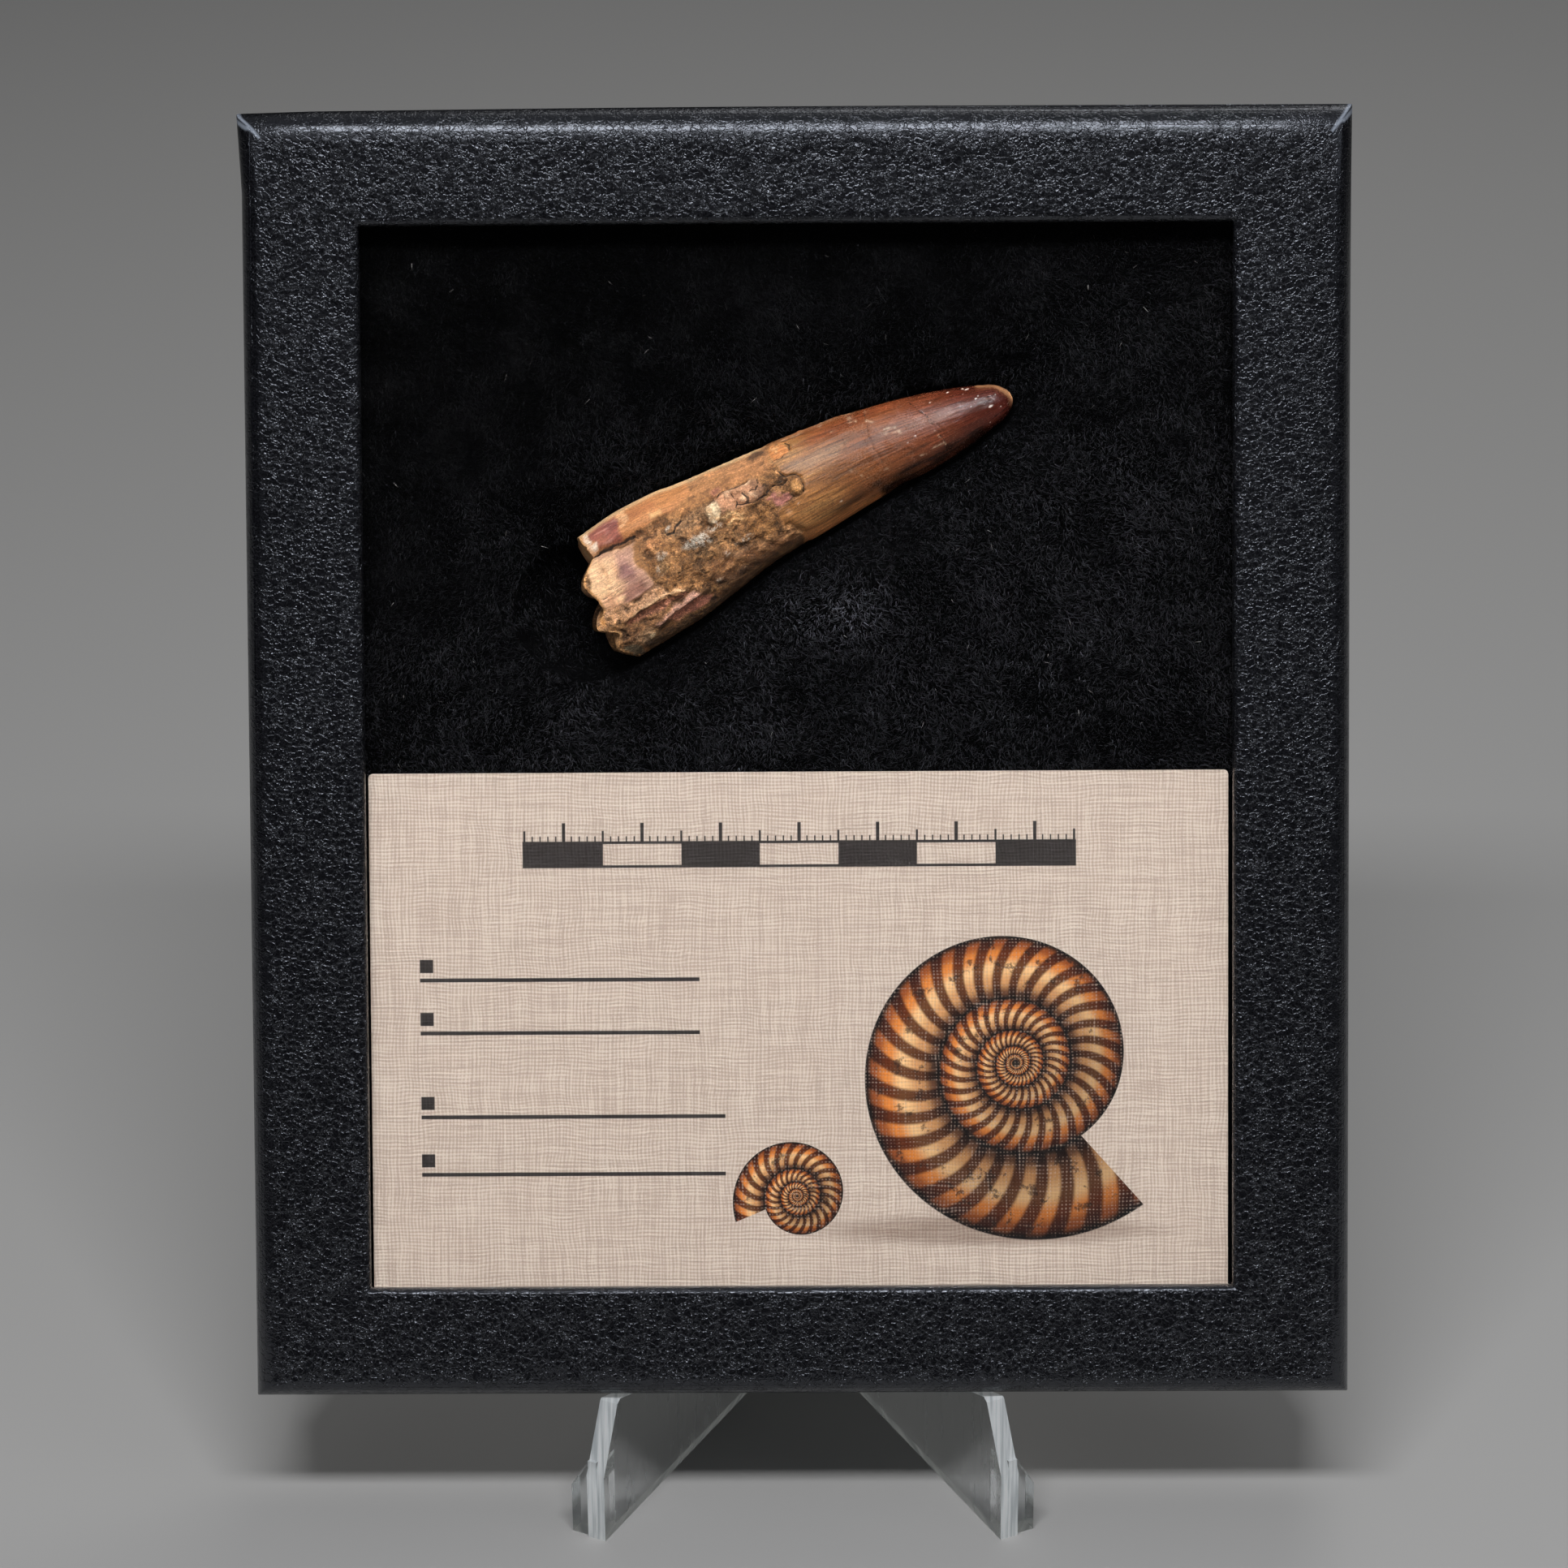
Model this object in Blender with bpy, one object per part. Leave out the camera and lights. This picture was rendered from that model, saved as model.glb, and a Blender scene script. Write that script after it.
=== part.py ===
"""A fossil theropod tooth in a small window display box, leaning on a clear plastic easel.

The tooth lies on black plush behind a clear pane, with a card below it, in a paper-covered box of
two halves. The box leans back on an easel of two clear sides that meet in a V at the back.

The origin is on the ground, in the middle of the object's box. +Z is up and -Y is the front.
The box is modelled upright, lengths in millimetres, as x across, y into the box from the lid's
front face and z up from the lid's lower edge, and its frame then leans it back.
"""

import math

import bmesh
import bpy
import numpy as np
from mathutils import Matrix, Vector

MM = 0.001
GAP = 0.3

# The box, in millimetres
LEAN = math.radians(20.0)
BOX_WIDTH = 140.0
BOX_HEIGHT = 164.0
BOX_DEPTH = 20.0
BOARD = 2.0
LID_RIM = 19.3
RIM_CHAMFER = 0.3
LID_ROUNDING, LID_ROUNDING_STEPS = 2.7, 6
LID_CORNER, LID_CORNER_STEPS = 0.7, 3
OPENING_WIDTH = 110.0
OPENING_BOTTOM = 14.15
OPENING_TOP = 149.15
OPENING_ROUNDING, OPENING_ROUNDING_STEPS = 1.2, 4
INNER_CHAMFER = 0.25
PANE = 0.5
TRAY_BOARD = 1.5
TRAY_FLOOR = 1.8
TRAY_CHAMFER = 0.6
SHEET_CORNER = 0.5
CARD_LEFT, CARD_RIGHT = -54.8, 54.6
CARD_BOTTOM, CARD_TOP = 8.0, 79.9
CARD_THICKNESS = 0.35

# The padding, in millimetres: how it dips to the tooth, and the mesh over its front
PAD_DIP_REACH = 6.5
PAD_DIP_ROOT = 4.0
BOWL_MARGIN, BOWL_SLACK = 2.2, 1.2
PAD_LEAST = 1.0
PAD_FINE_ACROSS, PAD_FINE_UP = (-46.0, 42.0), (82.0, 144.0)
PAD_FINE, PAD_COARSE_ACROSS, PAD_COARSE_UP = 2.8, 6.5, 10.0

# The easel, in millimetres
EDGE_HEIGHT = 19.5
FOOT_REACH = 3.06
FOOT_HALF_SPREAD = 25.3
HALF_ANGLE = math.radians(26.3)
PLATE = 2.5
FOOT_PAD = 2.5
FOOT_PAD_LENGTH = 4.0
FOOT_PAD_SETBACK = 0.4
FOOT_PAD_HEIGHT = 7.0
FOOT_PAD_SLOPE = 4.2
FOOT_FRONT_HEIGHT = 9.3
BACKREST_HEIGHT = 84.0
FRONT_SLOPE = 4.1
LEDGE_DROP, LEDGE_RUN = 1.0, 0.8
NOTCH_OVERLAP = 1.0
PLATE_BEVEL = 0.35

# The tooth, in millimetres: u runs from the root to the tip, v up across it, w to the viewer
TOOTH_PLACE = (-24.3, 101.9)
TOOTH_ANGLE = math.radians(26.15)
TOOTH_LENGTH = 57.8
TOOTH_SHOULDER = 54.5
TOOTH_ROOT_DEPTH = 10.15
TOOTH_RISE = 0.03
ROOT_FLATNESS, CROWN_FLATNESS = 0.68, 0.92
ROOT_HOLLOW = 2.4
FRONT_SETBACK = 1.1
FRONT_POINTS, BACK_POINTS = 30, 16
ROOT_STATIONS, CROWN_STATIONS = 30, 18
CROWN_START = 29.0
UPPER_EDGE = [(0.0, 8.55), (5.0, 9.3), (10.0, 9.45), (20.0, 8.95), (30.0, 8.3), (37.5, 7.5),
              (45.0, 6.05), (50.0, 4.75), (55.0, 3.1)]
LOWER_EDGE = [(0.0, -8.4), (5.0, -8.0), (10.0, -7.5), (15.0, -6.5), (20.0, -5.45), (30.0, -4.5),
              (40.0, -3.65), (45.0, -3.5), (50.0, -3.0), (55.0, -2.0)]
BROKEN_END = [(-8.4, 0.0), (-7.3, -1.5), (-6.3, -2.6), (-4.8, -1.8), (-3.0, -3.9), (-1.6, -2.3),
              (0.6, -2.0), (2.1, -2.8), (3.8, -2.2), (5.8, -0.1), (7.2, -0.5), (8.6, 0.0)]
HOLLOW_RINGS = [(0.25, 1.4), (0.65, 0.5), (1.0, 0.0)]

# The tooth's relief, in millimetres: lines and patches of (u, v) places, with widths and heights
ENAMEL_START, ENAMEL_TURN, ENAMEL_RISE = 25.5, 1.5, 0.12
ENAMEL_BORDER = [(26.5, 9.0), (27.0, 5.0), (28.8, 3.3), (28.8, 1.3), (25.5, 1.0), (24.4, -1.5), (26.5, -3.5),
                 (26.0, -6.0)]
BORDER_WIDTH, BORDER_DEPTH = 0.45, 0.15
STRIP_LOW, STRIP_END, STRIP_RISE = 6.2, 14.0, 0.25
FRONT_LINES = [
    ([(-1.0, 5.9), (4.0, 6.0), (8.0, 5.5), (11.0, 5.0)], 0.55, -0.45),
    ([(1.0, -3.3), (5.0, -2.9), (9.8, -3.2)], 0.6, 0.45),
    ([(5.0, -5.6), (8.5, -4.8), (11.0, -4.4)], 0.6, 0.45),
    ([(1.5, -4.4), (8.0, -4.1)], 0.7, -0.25),
    ([(5.0, -6.7), (11.0, -5.6)], 0.7, -0.25),
]
FRONT_PATCHES = [
    ((17.3, 3.9), (2.1, 1.4), 0.75), ((21.5, 3.9), (3.6, 1.9), 0.4), ((14.2, 1.7), (2.6, 1.2), 0.35),
    ((28.0, 2.0), (1.2, 1.2), 0.45),
]
LUMP_HEIGHT = 0.3


def material(name, colour, roughness, metallic=0.0, transmission=0.0):
    """A plain finish from a linear colour."""
    finish = bpy.data.materials.new(name)
    finish.use_nodes = True
    shader = finish.node_tree.nodes["Principled BSDF"]
    shader.inputs["Base Color"].default_value = (*colour, 1.0)
    shader.inputs["Roughness"].default_value = roughness
    shader.inputs["Metallic"].default_value = metallic
    shader.inputs["Transmission Weight"].default_value = transmission
    return finish


def finish_object(name, mesh_data, finish, parent=None):
    """Turns a bmesh in millimetres into a named object in metres."""
    bmesh.ops.scale(mesh_data, vec=(MM, MM, MM), verts=mesh_data.verts)
    bmesh.ops.recalc_face_normals(mesh_data, faces=mesh_data.faces)
    mesh = bpy.data.meshes.new(name)
    mesh_data.to_mesh(mesh)
    mesh_data.free()
    mesh.materials.append(finish)
    mesh.shade_smooth()
    mesh.set_sharp_from_angle(angle=math.radians(35))
    thing = bpy.data.objects.new(name, mesh)
    thing.parent = parent
    bpy.context.collection.objects.link(thing)
    return thing


def smooth_step(value):
    """0 below 0, 1 above 1, and a soft turn between."""
    t = np.clip(value, 0.0, 1.0)
    return t * t * (3.0 - 2.0 * t)


# Rounded rectangles and shells lofted through them

def rounded_ring(mesh_data, left, right, bottom, top, y, radius):
    """One closed ring of vertices round a rectangle with rounded corners."""
    corners = [(right - radius, top - radius, 0), (left + radius, top - radius, 90),
               (left + radius, bottom + radius, 180), (right - radius, bottom + radius, 270)]
    ring = []
    for x, z, start in corners:
        for step in range(LID_CORNER_STEPS + 1):
            turn = math.radians(start + 90 * step / LID_CORNER_STEPS)
            ring.append(mesh_data.verts.new((x + radius * math.cos(turn), y, z + radius * math.sin(turn))))
    return ring


def bridge(mesh_data, rings, closed):
    """Walls between each ring and the next, and back to the first if closed."""
    count = len(rings[0])
    pairs = list(zip(rings, rings[1:]))
    if closed:
        pairs.append((rings[-1], rings[0]))
    for near, far in pairs:
        for i in range(count):
            j = (i + 1) % count
            mesh_data.faces.new((near[i], near[j], far[j], far[i]))


def box_ring(mesh_data, inset, y):
    """A ring at a distance in from the outside of the box."""
    half = BOX_WIDTH / 2 - inset
    return rounded_ring(mesh_data, -half, half, inset, BOX_HEIGHT - inset, y, LID_CORNER)


def opening_ring(mesh_data, outset, y):
    """A ring at a distance out from the window opening."""
    half = OPENING_WIDTH / 2 + outset
    return rounded_ring(mesh_data, -half, half, OPENING_BOTTOM - outset, OPENING_TOP + outset, y, LID_CORNER)


def build_lid(parent):
    """The lid: a front panel with rounded edges and an opening, and four walls."""
    mesh_data = bmesh.new()
    rings = [box_ring(mesh_data, RIM_CHAMFER, LID_RIM), box_ring(mesh_data, 0.0, LID_RIM - RIM_CHAMFER)]
    for step in range(LID_ROUNDING_STEPS + 1):
        turn = math.radians(90 * step / LID_ROUNDING_STEPS)
        inset = LID_ROUNDING * (1 - math.cos(turn))
        rings.append(box_ring(mesh_data, inset, LID_ROUNDING * (1 - math.sin(turn))))
    for step in range(OPENING_ROUNDING_STEPS + 1):
        turn = math.radians(90 * step / OPENING_ROUNDING_STEPS)
        outset = OPENING_ROUNDING * (1 - math.sin(turn))
        rings.append(opening_ring(mesh_data, outset, OPENING_ROUNDING * (1 - math.cos(turn))))
    rings.append(opening_ring(mesh_data, 0.0, BOARD - INNER_CHAMFER))
    rings.append(opening_ring(mesh_data, INNER_CHAMFER, BOARD))
    rings.append(box_ring(mesh_data, BOARD, BOARD))
    rings.append(box_ring(mesh_data, BOARD, LID_RIM - INNER_CHAMFER))
    rings.append(box_ring(mesh_data, BOARD - INNER_CHAMFER, LID_RIM))
    bridge(mesh_data, rings, closed=True)
    finish = material("black_leather_grain_paper", (0.013, 0.014, 0.018), 0.45)
    return finish_object("lid", mesh_data, finish, parent)


def build_tray(parent):
    """The tray: nested inside the lid's walls, with its floor at the back of the box."""
    inset = BOARD + GAP
    rim = BOARD + PANE + 2 * GAP
    mesh_data = bmesh.new()
    rings = [
        box_ring(mesh_data, inset + TRAY_BOARD, BOX_DEPTH - TRAY_FLOOR),
        box_ring(mesh_data, inset + TRAY_BOARD, rim),
        box_ring(mesh_data, inset, rim),
        box_ring(mesh_data, inset, BOX_DEPTH - TRAY_CHAMFER),
        box_ring(mesh_data, inset + TRAY_CHAMFER, BOX_DEPTH),
    ]
    bridge(mesh_data, rings, closed=False)
    mesh_data.faces.new(rings[0])
    mesh_data.faces.new(rings[-1])
    finish = material("black_board", (0.014, 0.014, 0.016), 0.6)
    return finish_object("tray", mesh_data, finish, parent)


def build_sheet(name, left, right, bottom, top, front, thickness, finish, parent):
    """A thin flat sheet with just broken edges."""
    mesh_data = bmesh.new()
    bmesh.ops.create_cube(mesh_data, size=1.0)
    bmesh.ops.scale(mesh_data, vec=(right - left, thickness, top - bottom), verts=mesh_data.verts)
    centre = ((left + right) / 2, front + thickness / 2, (bottom + top) / 2)
    bmesh.ops.translate(mesh_data, vec=centre, verts=mesh_data.verts)
    corners = []
    for edge in mesh_data.edges:
        if abs(edge.verts[0].co.y - edge.verts[1].co.y) > thickness / 2:
            corners.append(edge)
    bmesh.ops.bevel(mesh_data, geom=corners, offset=SHEET_CORNER, segments=2, affect="EDGES", profile=0.5)
    return finish_object(name, mesh_data, finish, parent)


# The tooth

def along(points, place):
    """A smooth curve through the points, read at a place, level beyond the ends."""
    xs = np.array([p[0] for p in points])
    ys = np.array([p[1] for p in points])
    slopes = np.gradient(ys, xs)
    x = np.clip(place, xs[0], xs[-1])
    k = np.clip(np.searchsorted(xs, x) - 1, 0, len(xs) - 2)
    span = xs[k + 1] - xs[k]
    t = (x - xs[k]) / span
    value = (1 + 2 * t) * (1 - t) ** 2 * ys[k] + t * (1 - t) ** 2 * span * slopes[k]
    return value + t * t * (3 - 2 * t) * ys[k + 1] + t * t * (t - 1) * span * slopes[k + 1]


def tooth_section(u):
    """Middle, half width and flatness of the tooth at u."""
    low = along(LOWER_EDGE, u)
    high = along(UPPER_EDGE, u)
    t = np.clip((u - TOOTH_SHOULDER) / (TOOTH_LENGTH - TOOTH_SHOULDER), 0.0, 1.0)
    rounding = (1.0 - t ** 1.8) ** 0.6
    flatness = ROOT_FLATNESS + (CROWN_FLATNESS - ROOT_FLATNESS) * smooth_step((u - 5.0) / 45.0)
    return (low + high) / 2 - 0.25 * t, (high - low) / 2 * rounding, flatness


def beside(u, v, line, width):
    """1 on a line of points, falling away across it within about its width."""
    nearest = np.full(np.shape(u), 1e9)
    for (u0, v0), (u1, v1) in zip(line, line[1:]):
        length = (u1 - u0) ** 2 + (v1 - v0) ** 2
        t = np.clip(((u - u0) * (u1 - u0) + (v - v0) * (v1 - v0)) / length, 0.0, 1.0)
        nearest = np.minimum(nearest, np.hypot(u - u0 - t * (u1 - u0), v - v0 - t * (v1 - v0)))
    return np.exp(-((nearest / width) ** 2))


def blob(u, v, u0, v0, width, height):
    """A rounded patch, 1 over its middle and 0 outside."""
    return smooth_step(1.6 - 1.3 * np.hypot((u - u0) / width, (v - v0) / height))


def lumps(u, v, w):
    """Uneven lumps of a few millimetres, the same each time, from about -1 to 1."""
    a = np.sin(1.31 * u + 0.9 * np.sin(1.13 * v + 0.4 * w)) * np.cos(1.07 * v + 0.7 * np.sin(0.83 * u))
    b = np.sin(2.3 * u - 1.7 * v + 1.9 * w + 1.2) * np.sin(1.9 * v + 2.2 * w + 0.7 * u)
    return 0.6 * a + 0.4 * b


def relief(u, v, w):
    """How far the tooth's surface stands out from its smooth form: ledges, ridges, crust, cracks."""
    front = smooth_step(w / 2.0)
    crown = smooth_step((u - ENAMEL_START) / ENAMEL_TURN)
    rise = ENAMEL_RISE * crown - BORDER_DEPTH * beside(u, v, ENAMEL_BORDER, BORDER_WIDTH) * (1 - 0.5 * crown)
    rise = rise + STRIP_RISE * smooth_step((v - STRIP_LOW) / 0.5) * smooth_step((STRIP_END - u) / 3.0)
    for line, width, height in FRONT_LINES:
        rise = rise + front * height * beside(u, v, line, width)
    for (u0, v0), (width, tall), height in FRONT_PATCHES:
        rise = rise + front * height * blob(u, v, u0, v0, width, tall)
    middle, half = tooth_section(u)[:2]
    rough = (1 - crown) * (0.35 + 0.65 * smooth_step((u - 5.5) / 2.0 + smooth_step((-1.0 - v) / 1.5)))
    rough = rough * (1.0 - 0.95 * smooth_step((np.abs(v - middle) / half - 0.7) / 0.25))
    return rise + LUMP_HEIGHT * rough * lumps(u, v, w)


def tooth_surface(u, turn):
    """Tooth coordinates of the skin at u and a turn round it, 0 at the upper edge."""
    middle, half, flatness = tooth_section(u)
    v = middle + half * np.cos(turn)
    w = half * flatness * np.sin(turn)
    lift = relief(u, v, w) * smooth_step(half / 2.5)
    return v + lift * np.cos(turn), w + lift * np.sin(turn)


def tooth_to_box(u, v, w):
    """Tooth coordinates to box coordinates."""
    x = TOOTH_PLACE[0] + u * math.cos(TOOTH_ANGLE) - v * math.sin(TOOTH_ANGLE)
    z = TOOTH_PLACE[1] + u * math.sin(TOOTH_ANGLE) + v * math.cos(TOOTH_ANGLE)
    return x, TOOTH_ROOT_DEPTH - TOOTH_RISE * u - w, z


def build_tooth(parent):
    """The tooth: one closed skin, with a jagged hollow end at the root."""
    mesh_data = bmesh.new()
    turns = [math.pi * i / FRONT_POINTS for i in range(FRONT_POINTS)]
    turns += [math.pi + math.pi * i / BACK_POINTS for i in range(BACK_POINTS)]
    middle, half = tooth_section(0.0)[:2]
    ends = []
    for turn in turns:
        edge = middle + half * math.cos(turn)
        ends.append(float(along(BROKEN_END, edge)) + FRONT_SETBACK * max(math.sin(turn), 0.0))
    rings = []
    for size, depth in HOLLOW_RINGS:
        ring = []
        for turn, end in zip(turns, ends):
            v, w = tooth_surface(max(end, 0.0), turn)
            ring.append(mesh_data.verts.new(tooth_to_box(end + depth * ROOT_HOLLOW, v * size, w * size)))
        rings.append(ring)
    root_share = CROWN_START / TOOTH_LENGTH
    shares = [root_share * i / ROOT_STATIONS for i in range(1, ROOT_STATIONS)]
    for i in range(CROWN_STATIONS):
        shares.append(root_share + (1 - root_share) * math.sin(math.pi / 2 * i / CROWN_STATIONS) ** 1.1)
    for share in shares:
        ring = []
        for turn, end in zip(turns, ends):
            u = end + (TOOTH_LENGTH - end) * share
            v, w = tooth_surface(u, turn)
            ring.append(mesh_data.verts.new(tooth_to_box(u, v, w)))
        rings.append(ring)
    bridge(mesh_data, rings, closed=False)
    middle = tooth_section(TOOTH_LENGTH)[0]
    tip = mesh_data.verts.new(tooth_to_box(TOOTH_LENGTH, middle, 0.0))
    pit = mesh_data.verts.new(tooth_to_box(ROOT_HOLLOW, 0.0, 0.0))
    for i in range(len(turns)):
        j = (i + 1) % len(turns)
        mesh_data.faces.new((rings[-1][i], rings[-1][j], tip))
        mesh_data.faces.new((rings[0][j], rings[0][i], pit))
    finish = material("fossil_enamel_and_dentine", (0.20, 0.085, 0.03), 0.4)
    return finish_object("tooth", mesh_data, finish, parent)


# The pad

def pad_front(x, z):
    """Depth of the plush's front at a place: near the pane, and sunk where the tooth presses in."""
    across, up = x - TOOTH_PLACE[0], z - TOOTH_PLACE[1]
    u = across * math.cos(TOOTH_ANGLE) + up * math.sin(TOOTH_ANGLE)
    v = up * math.cos(TOOTH_ANGLE) - across * math.sin(TOOTH_ANGLE)
    nearest = min(max(u, -PAD_DIP_ROOT), TOOTH_LENGTH)
    middle, half, flatness = (float(value) for value in tooth_section(nearest))
    beyond = math.hypot(u - nearest, max(abs(v - middle) - half, 0.0))
    level = TOOTH_ROOT_DEPTH - TOOTH_RISE * nearest
    under = 1 - (math.hypot(u - nearest, v - middle) / (half + BOWL_MARGIN)) ** 2
    bowl = (half * flatness + BOWL_SLACK) * math.sqrt(under) if under > 0 else 0.0
    top = BOARD + PANE + 2 * GAP + CARD_THICKNESS + GAP
    dip = (level - top) / (1 + (beyond / PAD_DIP_REACH) ** 2)
    return min(top + dip + bowl, BOX_DEPTH - TRAY_FLOOR - GAP - PAD_LEAST)


def grid_lines(start, fine_start, fine_end, end, fine, coarse):
    """Places from start to end, close together between the two fine limits."""
    lines = [start]
    while lines[-1] < end - 0.6 * coarse:
        inside = fine_start - 0.1 < lines[-1] < fine_end
        lines.append(lines[-1] + (fine if inside else coarse))
    lines[-1] = end
    return lines


def build_pad(parent):
    """The padding with its plush cover, one soft block with a hollow for the tooth."""
    inset = BOARD + GAP + TRAY_BOARD + GAP
    half = BOX_WIDTH / 2 - inset
    xs = grid_lines(-half, *PAD_FINE_ACROSS, half, PAD_FINE, PAD_COARSE_ACROSS)
    zs = grid_lines(inset, *PAD_FINE_UP, BOX_HEIGHT - inset, PAD_FINE, PAD_COARSE_UP)
    back = BOX_DEPTH - TRAY_FLOOR - GAP
    mesh_data = bmesh.new()
    front = []
    for z in zs:
        front.append([mesh_data.verts.new((x, pad_front(x, z), z)) for x in xs])
    for near, far in zip(front, front[1:]):
        for i in range(len(xs) - 1):
            mesh_data.faces.new((near[i], near[i + 1], far[i + 1], far[i]))
    rim = [edge for edge in mesh_data.edges if edge.is_boundary]
    sides = bmesh.ops.extrude_edge_only(mesh_data, edges=rim)["geom"]
    for item in sides:
        if isinstance(item, bmesh.types.BMVert):
            item.co.y = back
    bmesh.ops.holes_fill(mesh_data, edges=[edge for edge in mesh_data.edges if edge.is_boundary], sides=0)
    finish = material("black_plush", (0.006, 0.006, 0.007), 0.95)
    return finish_object("pad", mesh_data, finish, parent)


# The easel

def side_outline():
    """The plate's outline as distance back and height, reaching a little into the box's space."""
    cosine = math.cos(HALF_ANGLE)
    seam = FOOT_HALF_SPREAD / math.sin(HALF_ANGLE)

    def under_box(distance):
        return EDGE_HEIGHT - (distance * cosine - FOOT_REACH) * math.tan(LEAN)

    def behind_box(height):
        depth = (BOX_DEPTH + (height - EDGE_HEIGHT) * math.sin(LEAN)) / math.cos(LEAN)
        return (FOOT_REACH + depth) / cosine

    ledge_front = FRONT_SLOPE + LEDGE_RUN
    inner = behind_box(EDGE_HEIGHT) - NOTCH_OVERLAP
    return [
        (0.0, 0.0), (0.0, FOOT_FRONT_HEIGHT), (FRONT_SLOPE, under_box(FRONT_SLOPE) - LEDGE_DROP),
        (ledge_front, under_box(ledge_front) - GAP), (ledge_front + NOTCH_OVERLAP, under_box(ledge_front)),
        (inner, EDGE_HEIGHT - BOX_DEPTH * math.sin(LEAN) + NOTCH_OVERLAP),
        (behind_box(BACKREST_HEIGHT) - NOTCH_OVERLAP, BACKREST_HEIGHT), (seam, BACKREST_HEIGHT), (seam, 0.0),
    ]


def extruded(outline, start, end):
    """A plate from an outline in distance and height, between two depths outwards."""
    mesh_data = bmesh.new()
    face = mesh_data.faces.new([mesh_data.verts.new((start, s, z)) for s, z in outline])
    grown = bmesh.ops.extrude_face_region(mesh_data, geom=[face])["geom"]
    moved = [item for item in grown if isinstance(item, bmesh.types.BMVert)]
    bmesh.ops.translate(mesh_data, vec=(end - start, 0.0, 0.0), verts=moved)
    return mesh_data


def stand_place(mesh_data, hand):
    """Turns a plate to its side of the V and puts its front corner on the ground."""
    flip = Matrix.Scale(-1, 4, Vector((1, 0, 0)))
    turn = Matrix.Rotation(-HALF_ANGLE, 4, "Z")
    corner = Matrix.Translation((-FOOT_HALF_SPREAD - GAP / 2, BOX_PLACE_Y - FOOT_REACH, 0.0))
    mirror = Matrix.Scale(-hand, 4, Vector((1, 0, 0)))
    bmesh.ops.transform(mesh_data, matrix=mirror @ corner @ turn @ flip, verts=mesh_data.verts)


def cutter(name, mesh_data, parent=None):
    """A helper shape that isn't part of the object."""
    shape = finish_object(name, mesh_data, material(name, (0.5, 0.5, 0.5), 0.5), parent)
    shape.hide_render = True
    shape.display_type = "WIRE"
    return shape


def build_box_space(parent):
    """The room that the leaning box takes, with a gap all round."""
    mesh_data = bmesh.new()
    bmesh.ops.create_cube(mesh_data, size=1.0)
    size = (BOX_WIDTH + 2 * GAP, BOX_DEPTH + 2 * GAP, BOX_HEIGHT + 2 * GAP)
    bmesh.ops.scale(mesh_data, vec=size, verts=mesh_data.verts)
    bmesh.ops.translate(mesh_data, vec=(0.0, BOX_DEPTH / 2, BOX_HEIGHT / 2), verts=mesh_data.verts)
    return cutter("box_space", mesh_data, parent)


def build_side(name, hand, box_space, finish):
    """One side of the easel: a plate with a foot pad on its outside, mitred to the other at the back."""
    plate = extruded(side_outline(), 0.0, PLATE)
    for vert in plate.verts:
        if vert.co.y > FOOT_HALF_SPREAD / math.sin(HALF_ANGLE) - 0.1:
            vert.co.y += vert.co.x / math.tan(HALF_ANGLE)
    pad_top = FOOT_PAD_HEIGHT + FOOT_PAD_SLOPE
    pad_outline = [
        (0.0, 0.0), (FOOT_PAD, 0.0), (FOOT_PAD, FOOT_PAD_HEIGHT), (0.0, pad_top), (-PLATE / 2, pad_top),
        (-PLATE / 2, 0.0),
    ]
    pad = bmesh.new()
    face = pad.faces.new([pad.verts.new((PLATE + out, FOOT_PAD_SETBACK, z)) for out, z in pad_outline])
    grown = bmesh.ops.extrude_face_region(pad, geom=[face])["geom"]
    moved = [item for item in grown if isinstance(item, bmesh.types.BMVert)]
    bmesh.ops.translate(pad, vec=(0.0, FOOT_PAD_LENGTH, 0.0), verts=moved)
    stand_place(plate, hand)
    stand_place(pad, hand)
    side = finish_object(name, plate, finish)
    notch = side.modifiers.new("notch", "BOOLEAN")
    notch.operation = "DIFFERENCE"
    notch.object = box_space
    union = side.modifiers.new("foot", "BOOLEAN")
    union.operation = "UNION"
    union.object = cutter(name + "_foot", pad)
    bevel = side.modifiers.new("edges", "BEVEL")
    bevel.width = PLATE_BEVEL * MM
    bevel.segments = 2
    bevel.limit_method = "ANGLE"
    bevel.angle_limit = math.radians(20)
    return side


for thing in list(bpy.data.objects):
    bpy.data.objects.remove(thing, do_unlink=True)

top_back = (BOX_HEIGHT - RIM_CHAMFER) * math.sin(LEAN) + LID_RIM * math.cos(LEAN)
BOX_PLACE_Y = -(top_back - FOOT_REACH) / 2
box = bpy.data.objects.new("box_frame", None)
box.location = (0.0, BOX_PLACE_Y * MM, EDGE_HEIGHT * MM)
box.rotation_euler = (-LEAN, 0.0, 0.0)
bpy.context.collection.objects.link(box)

build_lid(box)
build_tray(box)
half_window = BOX_WIDTH / 2 - BOARD - GAP
build_sheet("window", -half_window, half_window, BOARD + GAP, BOX_HEIGHT - BOARD - GAP, BOARD + GAP, PANE,
            material("clear_pane", (0.9, 0.9, 0.9), 0.03, transmission=1.0), box)
build_sheet("label_card", CARD_LEFT, CARD_RIGHT, CARD_BOTTOM, CARD_TOP, BOARD + PANE + 2 * GAP,
            CARD_THICKNESS, material("beige_linen_card", (0.62, 0.50, 0.40), 0.8), box)
build_tooth(box)
build_pad(box)
clear = material("clear_acrylic", (0.9, 0.93, 0.95), 0.05, transmission=1.0)
space = build_box_space(box)
build_side("stand_left", -1, space, clear)
build_side("stand_right", 1, space, clear)
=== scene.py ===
import math

import bmesh
import bpy
import numpy as np
from mathutils import Euler, Matrix, Vector


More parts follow.
